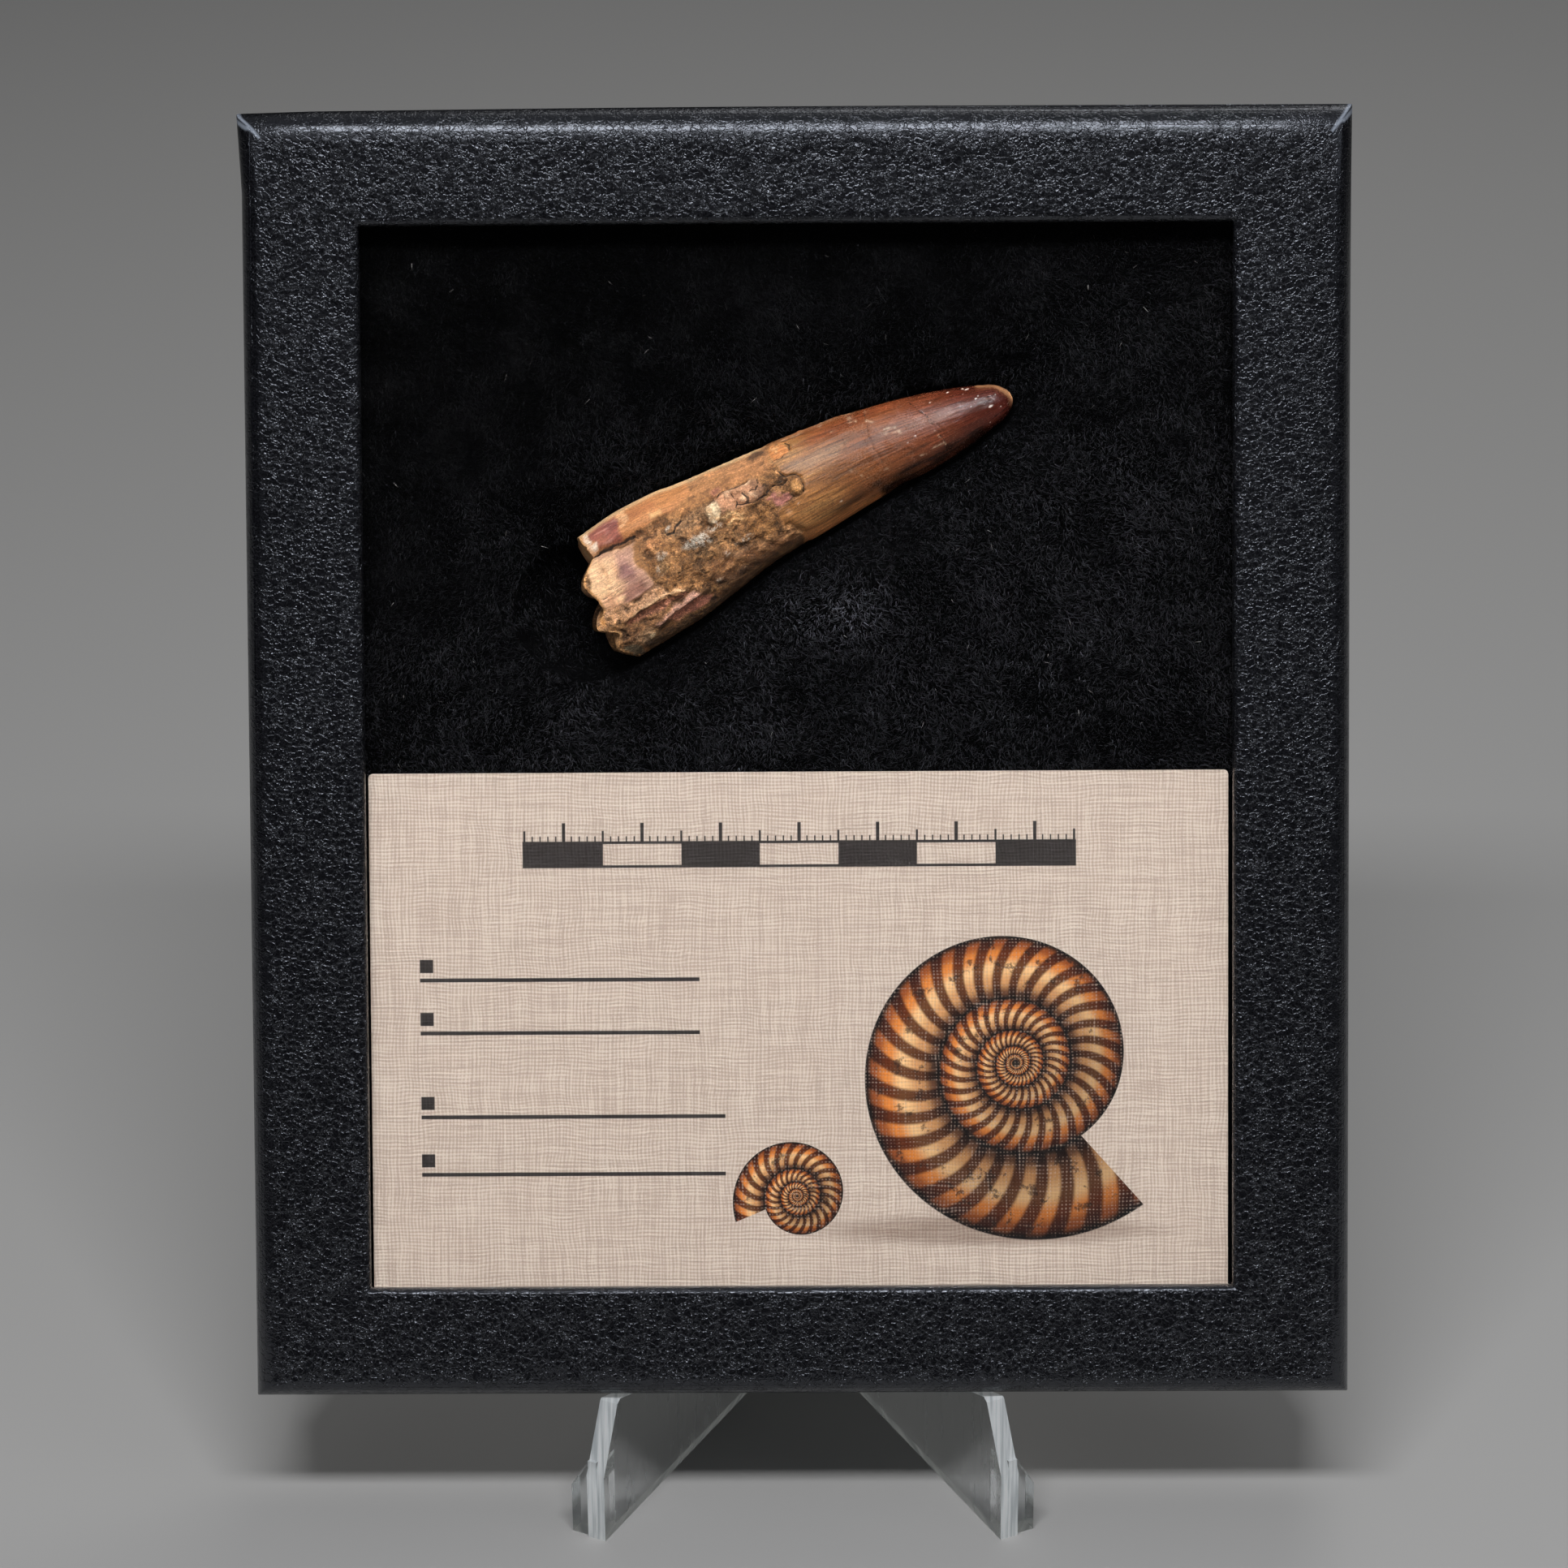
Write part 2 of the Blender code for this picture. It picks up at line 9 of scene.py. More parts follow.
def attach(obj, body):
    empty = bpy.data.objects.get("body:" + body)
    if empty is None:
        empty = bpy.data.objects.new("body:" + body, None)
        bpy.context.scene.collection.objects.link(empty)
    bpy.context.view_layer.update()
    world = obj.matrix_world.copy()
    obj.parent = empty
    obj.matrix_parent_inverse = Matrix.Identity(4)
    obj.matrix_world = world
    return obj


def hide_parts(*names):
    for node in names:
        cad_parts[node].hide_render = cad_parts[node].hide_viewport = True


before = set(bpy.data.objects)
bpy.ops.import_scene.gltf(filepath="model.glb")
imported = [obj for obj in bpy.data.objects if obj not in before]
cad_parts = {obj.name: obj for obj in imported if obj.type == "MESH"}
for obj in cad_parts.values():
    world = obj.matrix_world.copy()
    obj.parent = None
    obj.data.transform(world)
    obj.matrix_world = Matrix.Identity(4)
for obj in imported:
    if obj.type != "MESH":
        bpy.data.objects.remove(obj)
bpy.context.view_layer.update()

MM = 0.001


# The table and the light. A pale table top runs far past the view. One long soft lamp hangs above in
# front, as in the photograph, weaker ones stand at the right and behind, and the room is dim.

def linear(code, strength=1.0):
    """A colour written as sRGB hex, as the linear values that a shader takes."""
    steps = [int(code[i:i + 2], 16) / 255 for i in (1, 3, 5)]
    return (*(strength * (c / 12.92 if c <= 0.04045 else ((c + 0.055) / 1.055) ** 2.4) for c in steps), 1.0)


def feed(tree, node, feeds):
    """Gives a node's sockets, by name or number, what they take: values, nodes or other sockets."""
    for name, value in feeds.items():
        if isinstance(value, bpy.types.Node):
            tree.links.new(value.outputs[0], node.inputs[name])
        elif isinstance(value, bpy.types.NodeSocket):
            tree.links.new(value, node.inputs[name])
        else:
            node.inputs[name].default_value = value


def add_node(tree, kind, feeds=None, **settings):
    """Adds a node with its settings and what its sockets take."""
    made = tree.nodes.new(kind)
    for name, value in settings.items():
        setattr(made, name, value)
    feed(tree, made, feeds or {})
    return made


def step(tree, value, start, end, low=0.0, high=1.0):
    """A soft turn from low to high as the value goes from start to end."""
    return add_node(tree, "ShaderNodeMapRange", {"Value": value, "From Min": start, "From Max": end,
                                                 "To Min": low, "To Max": high},
                    interpolation_type="SMOOTHSTEP")


def new_finish(name):
    """A material with its Principled shader, and the node tree that holds it."""
    finish = bpy.data.materials.new(name)
    finish.use_nodes = True
    return finish, finish.node_tree, finish.node_tree.nodes["Principled BSDF"]


bpy.context.scene.view_settings.view_transform = "Standard"
bpy.context.scene.view_settings.look = "None"

CAMERA_PLACE = Vector((2.585, -513.685, 314.204)) * MM
CAMERA_TURN = (66.3754, 0.4568, 0.3040)
LENS, SENSOR_WIDTH = 100, 36
LAMPS_AIM = Vector((0.0, 0.0, 0.1))
camera = bpy.data.objects.new("photograph_view", bpy.data.cameras.new("photograph_view"))
camera.data.lens = LENS
camera.data.sensor_width = SENSOR_WIDTH
camera.location = CAMERA_PLACE
camera.rotation_euler = Euler([math.radians(turn) for turn in CAMERA_TURN])
bpy.context.collection.objects.link(camera)
bpy.context.scene.camera = camera

FLOOR_SIZE = 12.0
bpy.ops.mesh.primitive_plane_add(size=FLOOR_SIZE, location=(0, 0, 0))
floor = bpy.context.object
floor.name = "table_top"
finish, tree, shader = new_finish("pale_matt_table_top")
feed(tree, shader, {"Base Color": linear("#C4C2BE"), "Roughness": 0.7})
floor.data.materials.append(finish)


def add_lamp(name, azimuth, elevation, distance, size, power, tint):
    """A soft lamp aimed at the middle of the object; azimuth 0 is in front, 90 to the right."""
    lamp = bpy.data.objects.new(name, bpy.data.lights.new(name, "AREA"))
    lamp.data.shape = "RECTANGLE"
    lamp.data.size, lamp.data.size_y = size
    lamp.data.energy = power
    lamp.data.color = linear(tint)[:3]
    a, e = math.radians(azimuth), math.radians(elevation)
    out = Vector((math.sin(a) * math.cos(e), -math.cos(a) * math.cos(e), math.sin(e)))
    lamp.location = LAMPS_AIM + distance * out
    lamp.rotation_euler = out.to_track_quat("Z", "Y").to_euler()
    bpy.context.collection.objects.link(lamp)


add_lamp("softbox_above", -2, 56, 0.78, (0.56, 0.10), 4.05, "#F8FAFF")
add_lamp("fill_right", 62, 38, 1.1, (0.5, 0.5), 0.4, "#F2F6FF")
add_lamp("rim_behind", 160, 50, 1.1, (0.6, 0.4), 1.6, "#FFFFFF")

room = bpy.data.worlds.new("dim_room")
room.use_nodes = True
tree = room.node_tree
heading = add_node(tree, "ShaderNodeTexCoord").outputs["Generated"]
height = add_node(tree, "ShaderNodeSeparateXYZ", {"Vector": heading}).outputs["Z"]
glow = step(tree, height, 0.45, 0.95, 0.006, 0.22)
feed(tree, tree.nodes["Background"], {"Strength": glow, "Color": linear("#D5D9E0")})
bpy.context.scene.world = room


# The lid. Grey board wrapped in black leatherette paper: the paper goes round the outer edges, which
# are pressed round, and over the edges of the window. It lifts off the tray, so it's one shell.

LEAN = math.radians(20.0)
BOX_EDGE = Vector((0.0, -35.53, 19.5))
BOX_WIDTH, BOX_HEIGHT = 140.0, 164.0
BOARD, LID_RIM = 2.0, 19.3
OPENING = (-55.0, 55.0, 14.15, 149.15)
LID_ROUND, WINDOW_ROUND = 3.8, 0.9
SIDE_ROUND = BOTTOM_ROUND = 2.6
ROUND_END, FAR = 3.0, 9.0
EDGE_DULLED = 0.22
FRONT_SAG, TOP_SAG = 0.10, 0.22
box_place = Matrix.Translation(BOX_EDGE * MM) @ Matrix.Rotation(-LEAN, 4, "X") @ Matrix.Scale(MM, 4)


def clear_selection():
    """Nothing selected, so the next operator acts on the new piece alone."""
    for thing in bpy.context.selected_objects:
        thing.select_set(False)


def start_piece(name, primitive, **settings):
    """Adds a primitive as a new piece and opens it for editing, with nothing selected."""
    clear_selection()
    getattr(bpy.ops.mesh, primitive)(**settings)
    piece = bpy.context.object
    piece.name = piece.data.name = name
    bpy.ops.object.transform_apply(location=True, rotation=True, scale=True)
    bpy.ops.object.mode_set(mode="EDIT")
    bpy.ops.mesh.select_all(action="DESELECT")
    return piece


def pick(piece, kind, test):
    """Selects the faces, edges or verts that pass a test on their centres, and nothing else."""
    bpy.ops.mesh.select_mode(type=kind)
    bpy.ops.mesh.select_all(action="DESELECT")
    shape = bmesh.from_edit_mesh(piece.data)
    if kind == "VERT":
        chosen = [vert for vert in shape.verts if test(vert.co)]
    elif kind == "EDGE":
        chosen = [edge for edge in shape.edges if test((edge.verts[0].co + edge.verts[1].co) / 2, edge)]
    else:
        chosen = [face for face in shape.faces if test(face.calc_center_median())]
    for item in chosen:
        item.select_set(True)
    shape.select_flush_mode()
    bmesh.update_edit_mesh(piece.data)
    return len(chosen)


def apply_modifier(piece, kind, **settings):
    """Adds a modifier and applies it."""
    modifier = piece.modifiers.new(kind.lower(), kind)
    for name, value in settings.items():
        setattr(modifier, name, value)
    bpy.context.view_layer.objects.active = piece
    bpy.ops.object.modifier_apply(modifier=modifier.name)


def close_to(value, target, reach=0.05):
    return abs(value - target) < reach


def rumple(points, size, octaves=1, seed=0):
    """Smooth uneven values from -1 to 1 over points, with lumps of about the given size."""
    total = np.zeros(len(points))
    for octave in range(octaves):
        place = points * (2 ** octave / size) + 37.7 * (seed + octave)
        corner = np.floor(place).astype(np.int64)
        share = place - corner
        share = share * share * (3 - 2 * share)
        for step in range(8):
            offset = np.array([step & 1, step >> 1 & 1, step >> 2 & 1])
            at = corner + offset
            mixed = (at[:, 0] * 374761393 + at[:, 1] * 668265263 + at[:, 2] * 1274126177) & 0x7FFFFFFF
            mixed = ((mixed ^ (mixed >> 13)) * 1103515245) & 0x7FFFFFFF
            height = ((mixed ^ (mixed >> 16)) & 0xFFFF) / 32767.5 - 1
            total += height * np.prod(np.where(offset, share, 1 - share), axis=1) / 2 ** octave
    return total


def read_points(mesh):
    """The mesh's points as rows of three numbers."""
    points = np.empty(len(mesh.vertices) * 3)
    mesh.vertices.foreach_get("co", points)
    return points.reshape(-1, 3)


def write_points(mesh, points):
    mesh.vertices.foreach_set("co", np.ascontiguousarray(points, dtype=np.float64).ravel())
    mesh.update()


def keep_values(piece, name, values):
    """Stores one value or one colour for each of the piece's points."""
    if values.ndim == 2:
        layer = piece.data.attributes.new(name, "FLOAT_COLOR", "POINT")
        layer.data.foreach_set("color",
                               np.hstack([values, np.ones((len(values), 1))]).astype(np.float32).ravel())
    else:
        layer = piece.data.attributes.new(name, "FLOAT", "POINT")
        layer.data.foreach_set("value", values.astype(np.float32))


left, right, bottom, top = OPENING
lid = start_piece("lid_board_and_paper", "primitive_cube_add", size=1,
                  location=(0, LID_RIM / 2, BOX_HEIGHT / 2), scale=(BOX_WIDTH, LID_RIM, BOX_HEIGHT))
pick(lid, "FACE", lambda centre: close_to(centre.y, LID_RIM))
bpy.ops.mesh.delete(type="FACE")
pick(lid, "FACE", lambda centre: close_to(centre.y, 0))
bpy.ops.mesh.inset(thickness=14)
shape = bmesh.from_edit_mesh(lid.data)
for vert in [vert for vert in shape.verts if vert.select]:
    vert.co.x = left if vert.co.x < 0 else right
    vert.co.z = bottom if vert.co.z < BOX_HEIGHT / 2 else top
bmesh.update_edit_mesh(lid.data)
bpy.ops.mesh.delete(type="FACE")
pick(lid, "EDGE", lambda middle, edge: edge.is_boundary and close_to(middle.y, 0))
bpy.ops.mesh.extrude_edges_move(TRANSFORM_OT_translate={"value": (0, BOARD, 0)})
pick(lid, "EDGE", lambda middle, edge: edge.is_boundary and close_to(middle.y, LID_RIM))
bpy.ops.mesh.extrude_edges_move(TRANSFORM_OT_translate={"value": (0, 0, 0)})
inner = ((BOX_WIDTH - 2 * BOARD) / BOX_WIDTH, 1, (BOX_HEIGHT - 2 * BOARD) / BOX_HEIGHT)
bpy.ops.transform.resize(value=inner, center_override=(0, 0, BOX_HEIGHT / 2))
bpy.ops.mesh.extrude_edges_move(TRANSFORM_OT_translate={"value": (0, BOARD - LID_RIM, 0)})
pick(lid, "EDGE", lambda middle, edge: edge.is_boundary)
bpy.ops.mesh.bridge_edge_loops()
outer_edge = BOX_WIDTH / 2
pick(lid, "EDGE", lambda middle, edge: close_to(edge.verts[0].co.y, 0) and close_to(edge.verts[1].co.y, 0)
     and (close_to(abs(middle.x), outer_edge) or close_to(abs(middle.z - BOX_HEIGHT / 2), BOX_HEIGHT / 2)))
bpy.ops.mesh.bevel(offset=LID_ROUND, segments=8, profile=0.5, affect="EDGES")
pick(lid, "EDGE", lambda middle, edge: close_to(edge.verts[0].co.y, 0) and close_to(edge.verts[1].co.y, 0)
     and left - 0.1 < middle.x < right + 0.1 and bottom - 0.1 < middle.z < top + 0.1)
bpy.ops.mesh.bevel(offset=WINDOW_ROUND, segments=5, profile=0.5, affect="EDGES")
bpy.ops.mesh.select_all(action="SELECT")
bpy.ops.mesh.normals_make_consistent(inside=False)
bpy.ops.object.mode_set(mode="OBJECT")
apply_modifier(lid, "BEVEL", width=EDGE_DULLED, segments=2, limit_method="ANGLE",
               angle_limit=math.radians(40))
apply_modifier(lid, "TRIANGULATE")
for _ in range(2):
    bpy.ops.object.mode_set(mode="EDIT")
    pick(lid, "EDGE", lambda middle, edge: edge.calc_length() > FAR)
    bpy.ops.mesh.subdivide(number_cuts=3)
    bpy.ops.object.mode_set(mode="OBJECT")
points = read_points(lid.data)
for edge_gap, wanted, axis, toward in ((outer_edge - np.abs(points[:, 0]), SIDE_ROUND, 0,
                                        np.sign(points[:, 0])), (points[:, 2], BOTTOM_ROUND, 2, -1.0)):
    squeezed = np.interp(edge_gap, (0, LID_ROUND, FAR), (0, wanted, FAR))
    points[:, axis] += toward * (edge_gap - squeezed) * (points[:, 1] < LID_ROUND + 0.3) * (edge_gap < FAR)
on_face = np.clip((8.0 - points[:, 1]) / 8.0, 0, 1)
points[:, 1] += np.abs(FRONT_SAG * rumple(points, 21.0, 2, seed=3) * on_face)
at_top = np.clip((points[:, 2] - BOX_HEIGHT) / ROUND_END + 1, 0, 1)
points[:, 2] -= TOP_SAG * (1 - np.cos(points[:, 0] / 34.0)) * at_top
side_gap = outer_edge - np.abs(points[:, 0])
top_gap = BOX_HEIGHT - points[:, 2]
off_window = np.hypot(np.maximum(left - points[:, 0], 0) + np.maximum(points[:, 0] - right, 0),
                      np.maximum(bottom - points[:, 2], 0) + np.maximum(points[:, 2] - top, 0))
near_edge = np.min([side_gap / SIDE_ROUND, top_gap / LID_ROUND,
                    np.where(points[:, 2] < bottom, 1.0 + 0.35 * off_window, FAR)], axis=0)
off_fold = side_gap * LID_ROUND / SIDE_ROUND - top_gap
off_fold = np.where((side_gap < 2 * SIDE_ROUND) & (top_gap < 2 * LID_ROUND), off_fold, FAR)
pinch = np.exp(-(np.hypot(side_gap, top_gap) / 2.3) ** 2) * np.exp(-(points[:, 1] / 5.0) ** 2)
points[:, 0] += np.where(points[:, 0] < 0, -0.85, 0.3) * pinch
points[:, 2] += np.where(points[:, 0] < 0, -0.35, 0.25) * pinch
write_points(lid.data, points)
lid.data.transform(box_place)
keep_values(lid, "near_edge", near_edge)
keep_values(lid, "off_fold", off_fold)
bpy.ops.object.shade_smooth_by_angle(angle=math.radians(38))


def noise(tree, place, scale, detail, roughness=0.5, distortion=0.0):
    """A Noise texture over a place."""
    return add_node(tree, "ShaderNodeTexNoise", {"Vector": place, "Scale": scale, "Detail": detail,
                                                 "Roughness": roughness, "Distortion": distortion})


def calc(tree, operation, *values):
    """A Math node on one to three values, nodes or sockets."""
    return add_node(tree, "ShaderNodeMath", dict(enumerate(values)), operation=operation)


def times(tree, first, second):
    """The two multiplied."""
    return calc(tree, "MULTIPLY", first, second)


def mix(tree, share, first, second, kind="MIX"):
    """Two colours mixed by a share."""
    return add_node(tree, "ShaderNodeMixRGB", {"Fac": share, "Color1": first, "Color2": second},
                    blend_type=kind)


def raised(tree, height, distance, strength=1.0):
    """A Bump of a height."""
    return add_node(tree, "ShaderNodeBump", {"Strength": strength, "Distance": distance, "Height": height})


def stored(tree, name, output="Fac"):
    """A value or colour kept for each of a piece's points."""
    return add_node(tree, "ShaderNodeAttribute", attribute_name=name).outputs[output]


def leatherette(name, tone):
    """Black paper embossed with a fine pebbled grain: pebbles with steep rims that catch the light, and a
    painted highlight along the fold at the top corners.
    """
    finish, tree, shader = new_finish(name)
    place = add_node(tree, "ShaderNodeTexCoord").outputs["Object"]
    place = add_node(tree, "ShaderNodeMapping", {"Vector": place, "Rotation": (LEAN, 0, 0)})
    bend = noise(tree, place, 1300, 2)
    bent = mix(tree, 0.0006, place, bend.outputs["Color"], "LINEAR_LIGHT")
    pebbles = add_node(tree, "ShaderNodeTexVoronoi", {"Vector": bent, "Scale": 1180, "Randomness": 1.0},
                       feature="DISTANCE_TO_EDGE")
    speckle = noise(tree, place, 5200, 2)
    pressed = add_node(tree, "ShaderNodeMapRange", {"Value": noise(tree, place, 520, 2), "From Min": 0.40,
                                                    "From Max": 0.62, "To Min": 0.4, "To Max": 1.4})
    slack = step(tree, stored(tree, "near_edge"), 0.95, 1.25, 0.5)
    relief = times(tree, times(tree, step(tree, pebbles, 0.0, 0.16), pressed), slack)
    relief = calc(tree, "MULTIPLY_ADD", speckle, 0.32, relief)
    light = add_node(tree, "ShaderNodeMapRange", {"Value": speckle, "From Min": 0.4, "From Max": 0.6})
    colour = mix(tree, light, linear("#020203"), linear(tone))
    # Painted highlight: a light grey laid along the mitre fold at the two top corners stands in for the
    # lamp's glint there.
    painted_fold_glint = step(tree, calc(tree, "ABSOLUTE", stored(tree, "off_fold")), 0.08, 0.5, 0.85, 0.0)
    gloss = add_node(tree, "ShaderNodeMapRange", {"Value": slack, "From Min": 0.5, "To Min": 0.27,
                                                  "To Max": 0.22})
    feed(tree, shader, {"Base Color": mix(tree, painted_fold_glint, colour, linear("#A4ACB8")), "Roughness": gloss,
                        "Normal": raised(tree, relief, 0.000062), "IOR": 1.7,
                        "Specular Tint": linear("#F0F5FF")})
    return finish


lid.data.materials.append(leatherette("black_leatherette_paper", "#1B1B1F"))
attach(lid, "root")
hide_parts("lid")


# The tray. The same board, wrapped in plain black paper; it slides inside the lid, and its floor is
# the back of the box. Its solid is right as it is, so only its finish is made here.

finish, tree, shader = new_finish("black_wove_paper")
place = add_node(tree, "ShaderNodeTexCoord").outputs["Object"]
colour = mix(tree, noise(tree, place, 45, 3), linear("#151517"), linear("#222225"))
fibres = noise(tree, place, 1400, 4, 0.7)
feed(tree, shader, {"Base Color": colour, "Normal": raised(tree, fibres, 0.00005, 0.5), "Roughness": 0.62})
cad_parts["tray"].data.materials.clear()
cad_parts["tray"].data.materials.append(finish)


# The pane. One sheet of clear, perfectly smooth plastic glued behind the lid's opening. Its shadow is
# left out, so the light reaches what lies behind it.

HALF_PANE, PANE_EDGE_DULLED = 67.7, 0.08
PANE_FRONT, PANE_THICKNESS = 2.3, 0.5
PANE_LOW, PANE_HIGH = 2.3, 161.7

pane = start_piece("clear_window_pane", "primitive_cube_add", size=1,
                   location=(0, PANE_FRONT + PANE_THICKNESS / 2, (PANE_LOW + PANE_HIGH) / 2),
                   scale=(2 * HALF_PANE, PANE_THICKNESS, PANE_HIGH - PANE_LOW))
bpy.ops.mesh.select_all(action="SELECT")
bpy.ops.mesh.bevel(offset=PANE_EDGE_DULLED, segments=2, affect="EDGES")
bpy.ops.object.mode_set(mode="OBJECT")
pane.data.transform(box_place)
finish, tree, shader = new_finish("clear_plastic_pane")
feed(tree, shader, {"Base Color": linear("#FFFFFF"), "Transmission Weight": 1.0, "IOR": 1.46,
                    "Roughness": 0.0})
pane.data.materials.append(finish)
pane.visible_shadow = False
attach(pane, "root")
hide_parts("window")


# The card. Beige card embossed like linen, printed in browns and black: a centimetre bar for a heading,
# ruled lines to the left and two coiled fossil shells to the right. It stands on edge behind the pane.

def ramp(tree, value, *stops, ease="EASE"):
    """A Color Ramp from (place, hex) stops."""
    made = add_node(tree, "ShaderNodeValToRGB", {"Fac": value})
    made.color_ramp.interpolation = ease
    while len(made.color_ramp.elements) < len(stops):
        made.color_ramp.elements.new(0.5)
    for element, (at, code) in zip(made.color_ramp.elements, sorted(stops)):
        element.position = at
        element.color = linear(code)
    return made


def box_plane(tree):
    """The place on the box in millimetres, as across, into the box and up, whatever its lean."""
    place = add_node(tree, "ShaderNodeTexCoord").outputs["Object"]
    upright = Matrix.Rotation(LEAN, 3, "X") @ BOX_EDGE
    return add_node(tree, "ShaderNodeMapping", {"Vector": place, "Location": tuple(-upright),
                                                "Rotation": (LEAN, 0, 0), "Scale": (1000, 1000, 1000)})


def bar(tree, across, up, left, right, low, high, soft=0.06):
    """A printed rectangle with slightly bled edges."""
    wide = times(tree, step(tree, across, left - soft, left + soft),
                step(tree, across, right - soft, right + soft, 1, 0))
    tall = times(tree, step(tree, up, low - soft, low + soft),
                step(tree, up, high - soft, high + soft, 1, 0))
    return times(tree, wide, tall)


def coiled_shell(tree, plane, across, up, centre, size, turn, ribs, growth=1.95):
    """The colour and the outline of a printed ammonite: whorls on a log spiral, crossed by ribs."""
    dx = calc(tree, "SUBTRACT", across, centre[0])
    dz = calc(tree, "SUBTRACT", up, centre[1])
    cosine, sine = math.cos(turn), math.sin(turn)
    px = calc(tree, "MULTIPLY_ADD", dx, cosine, times(tree, dz, sine))
    pz = calc(tree, "MULTIPLY_ADD", dx, -sine, times(tree, dz, cosine))
    angle = calc(tree, "DIVIDE", calc(tree, "ARCTAN2", pz, px), 2 * math.pi)
    angle = calc(tree, "ADD", angle, 0.5)
    distance = calc(tree, "SQRT", calc(tree, "MULTIPLY_ADD", px, px, times(tree, pz, pz)))
    spread = calc(tree, "DIVIDE", distance, size)
    coil = calc(tree, "DIVIDE", calc(tree, "LOGARITHM", spread, math.e), math.log(growth))
    coil = calc(tree, "SUBTRACT", coil, angle)
    across_whorl = calc(tree, "FRACT", calc(tree, "ADD", coil, 20.0))
    outline = step(tree, coil, -0.012, 0.0, 1, 0)
    heart = step(tree, spread, 0.03, 0.05)
    bow = times(tree, times(tree, across_whorl, across_whorl), 1.3)
    rib = calc(tree, "SINE", times(tree, calc(tree, "MULTIPLY_ADD", angle, ribs, bow), 2 * math.pi))
    rib = step(tree, rib, -0.7, 0.8)
    body = ramp(tree, across_whorl, (0.0, "#1F1510"), (0.1, "#5A3822"), (0.34, "#C08A57"), (0.58, "#E2B37C"),
                (0.76, "#CE7A33"), (0.9, "#8A461C"), (0.98, "#20140E"))
    shade = mix(tree, 1.0, body, ramp(tree, rib, (0.0, "#6E5647"), (1.0, "#FFFFFF")), "MULTIPLY")
    spots = step(tree, noise(tree, plane, 0.55, 4, 0.65), 0.58, 0.66)
    shade = mix(tree, times(tree, spots, 0.75), shade, linear("#2A1B14"))
    light = step(tree, calc(tree, "SUBTRACT", dz, dx), -size, size, 0.62, 1.12)
    shade = mix(tree, 1.0, shade, light, "MULTIPLY")
    shade = mix(tree, heart, linear("#1B120D"), shade)
    return shade, outline


finish, tree, shader = new_finish("beige_linen_card_printed")
plane = box_plane(tree)
axes = add_node(tree, "ShaderNodeSeparateXYZ", {"Vector": plane})
across, up = axes.outputs["X"], axes.outputs["Z"]
wobble = times(tree, noise(tree, plane, 0.12, 2), 1.6)


def threads(direction, seed):
    """Embossed threads of uneven width that run one way over the card."""
    scale = (1.0, 1.0, 0.035) if direction == "up" else (0.035, 1.0, 1.0)
    stretched = add_node(tree, "ShaderNodeMapping", {"Vector": plane, "Scale": scale,
                                                     "Location": (seed, 0, 0)})
    slub = noise(tree, stretched, 2.6, 3, 0.75)
    line = across if direction == "up" else up
    wave = calc(tree, "SINE", times(tree, calc(tree, "ADD", line, wobble), 2 * math.pi / 0.46))
    return calc(tree, "MULTIPLY_ADD", wave, 0.22, times(tree, slub, 1.6))


weave = calc(tree, "ADD", threads("up", 3.0), threads("across", 11.0))
tone = step(tree, weave, 1.2, 2.05)
paper = ramp(tree, tone, (0.0, "#B9A595"), (0.5, "#C5B3A2"), (1.0, "#CFBFAE"), ease="LINEAR")
BAR_HALF, BAR_LOW, BAR_HIGH = 35.0, 68.0, 70.9
LINE_OUT, LINE_IN = 0.25, 0.1
every_other = calc(tree, "MODULO", calc(tree, "ADD", across, BAR_HALF), 20.0)
blocks = step(tree, every_other, 9.94, 10.06, 1, 0)
blocks = times(tree, blocks, bar(tree, across, up, -BAR_HALF, BAR_HALF, BAR_LOW, BAR_HIGH))
outer = BAR_HALF + LINE_OUT
frame_out = bar(tree, across, up, -outer, outer, BAR_LOW - LINE_OUT, BAR_HIGH + LINE_OUT)
frame_in = bar(tree, across, up, LINE_IN - BAR_HALF, BAR_HALF - LINE_IN, BAR_LOW + LINE_IN,
               BAR_HIGH - LINE_IN)
outline = calc(tree, "MAXIMUM", calc(tree, "SUBTRACT", frame_out, frame_in), 0.0)
ink = calc(tree, "MAXIMUM", blocks, outline)
for spacing, tall, half in ((1.0, 0.9, 0.09), (5.0, 1.6, 0.14), (10.0, 2.6, 0.22)):
    nearest = calc(tree, "ABSOLUTE", calc(tree, "WRAP", across, spacing / 2, -spacing / 2))
    tick = step(tree, nearest, half - 0.04, half + 0.04, 1, 0)
    place = bar(tree, across, up, -outer, outer, BAR_HIGH, BAR_HIGH + tall)
    ink = calc(tree, "MAXIMUM", ink, times(tree, tick, place))
for left_end, right_end, height in ((-48.5, -12.8, 53.2), (-48.5, -12.8, 46.4), (-48.5, -9.6, 35.6),
                                    (-48.5, -9.6, 28.2)):
    ink = calc(tree, "MAXIMUM", ink, bar(tree, across, up, left_end, right_end, height, height + 0.5))
    ink = calc(tree, "MAXIMUM", ink, bar(tree, across, up, left_end, left_end + 1.7, height + 1.2,
                                         height + 2.9))
print_wear = step(tree, weave, 0.9, 1.5, 0.5, 1.0)
card = mix(tree, times(tree, ink, 0.96), paper, linear("#1F1C1D"))
ground_dx = calc(tree, "DIVIDE", calc(tree, "SUBTRACT", across, 24.0), 25.0)
ground_dz = calc(tree, "DIVIDE", calc(tree, "SUBTRACT", up, 21.0), 2.4)
ground = calc(tree, "MULTIPLY_ADD", ground_dx, ground_dx, times(tree, ground_dz, ground_dz))
card = mix(tree, step(tree, ground, 0.1, 1.1, 0.55, 0), card, linear("#6E5443"))
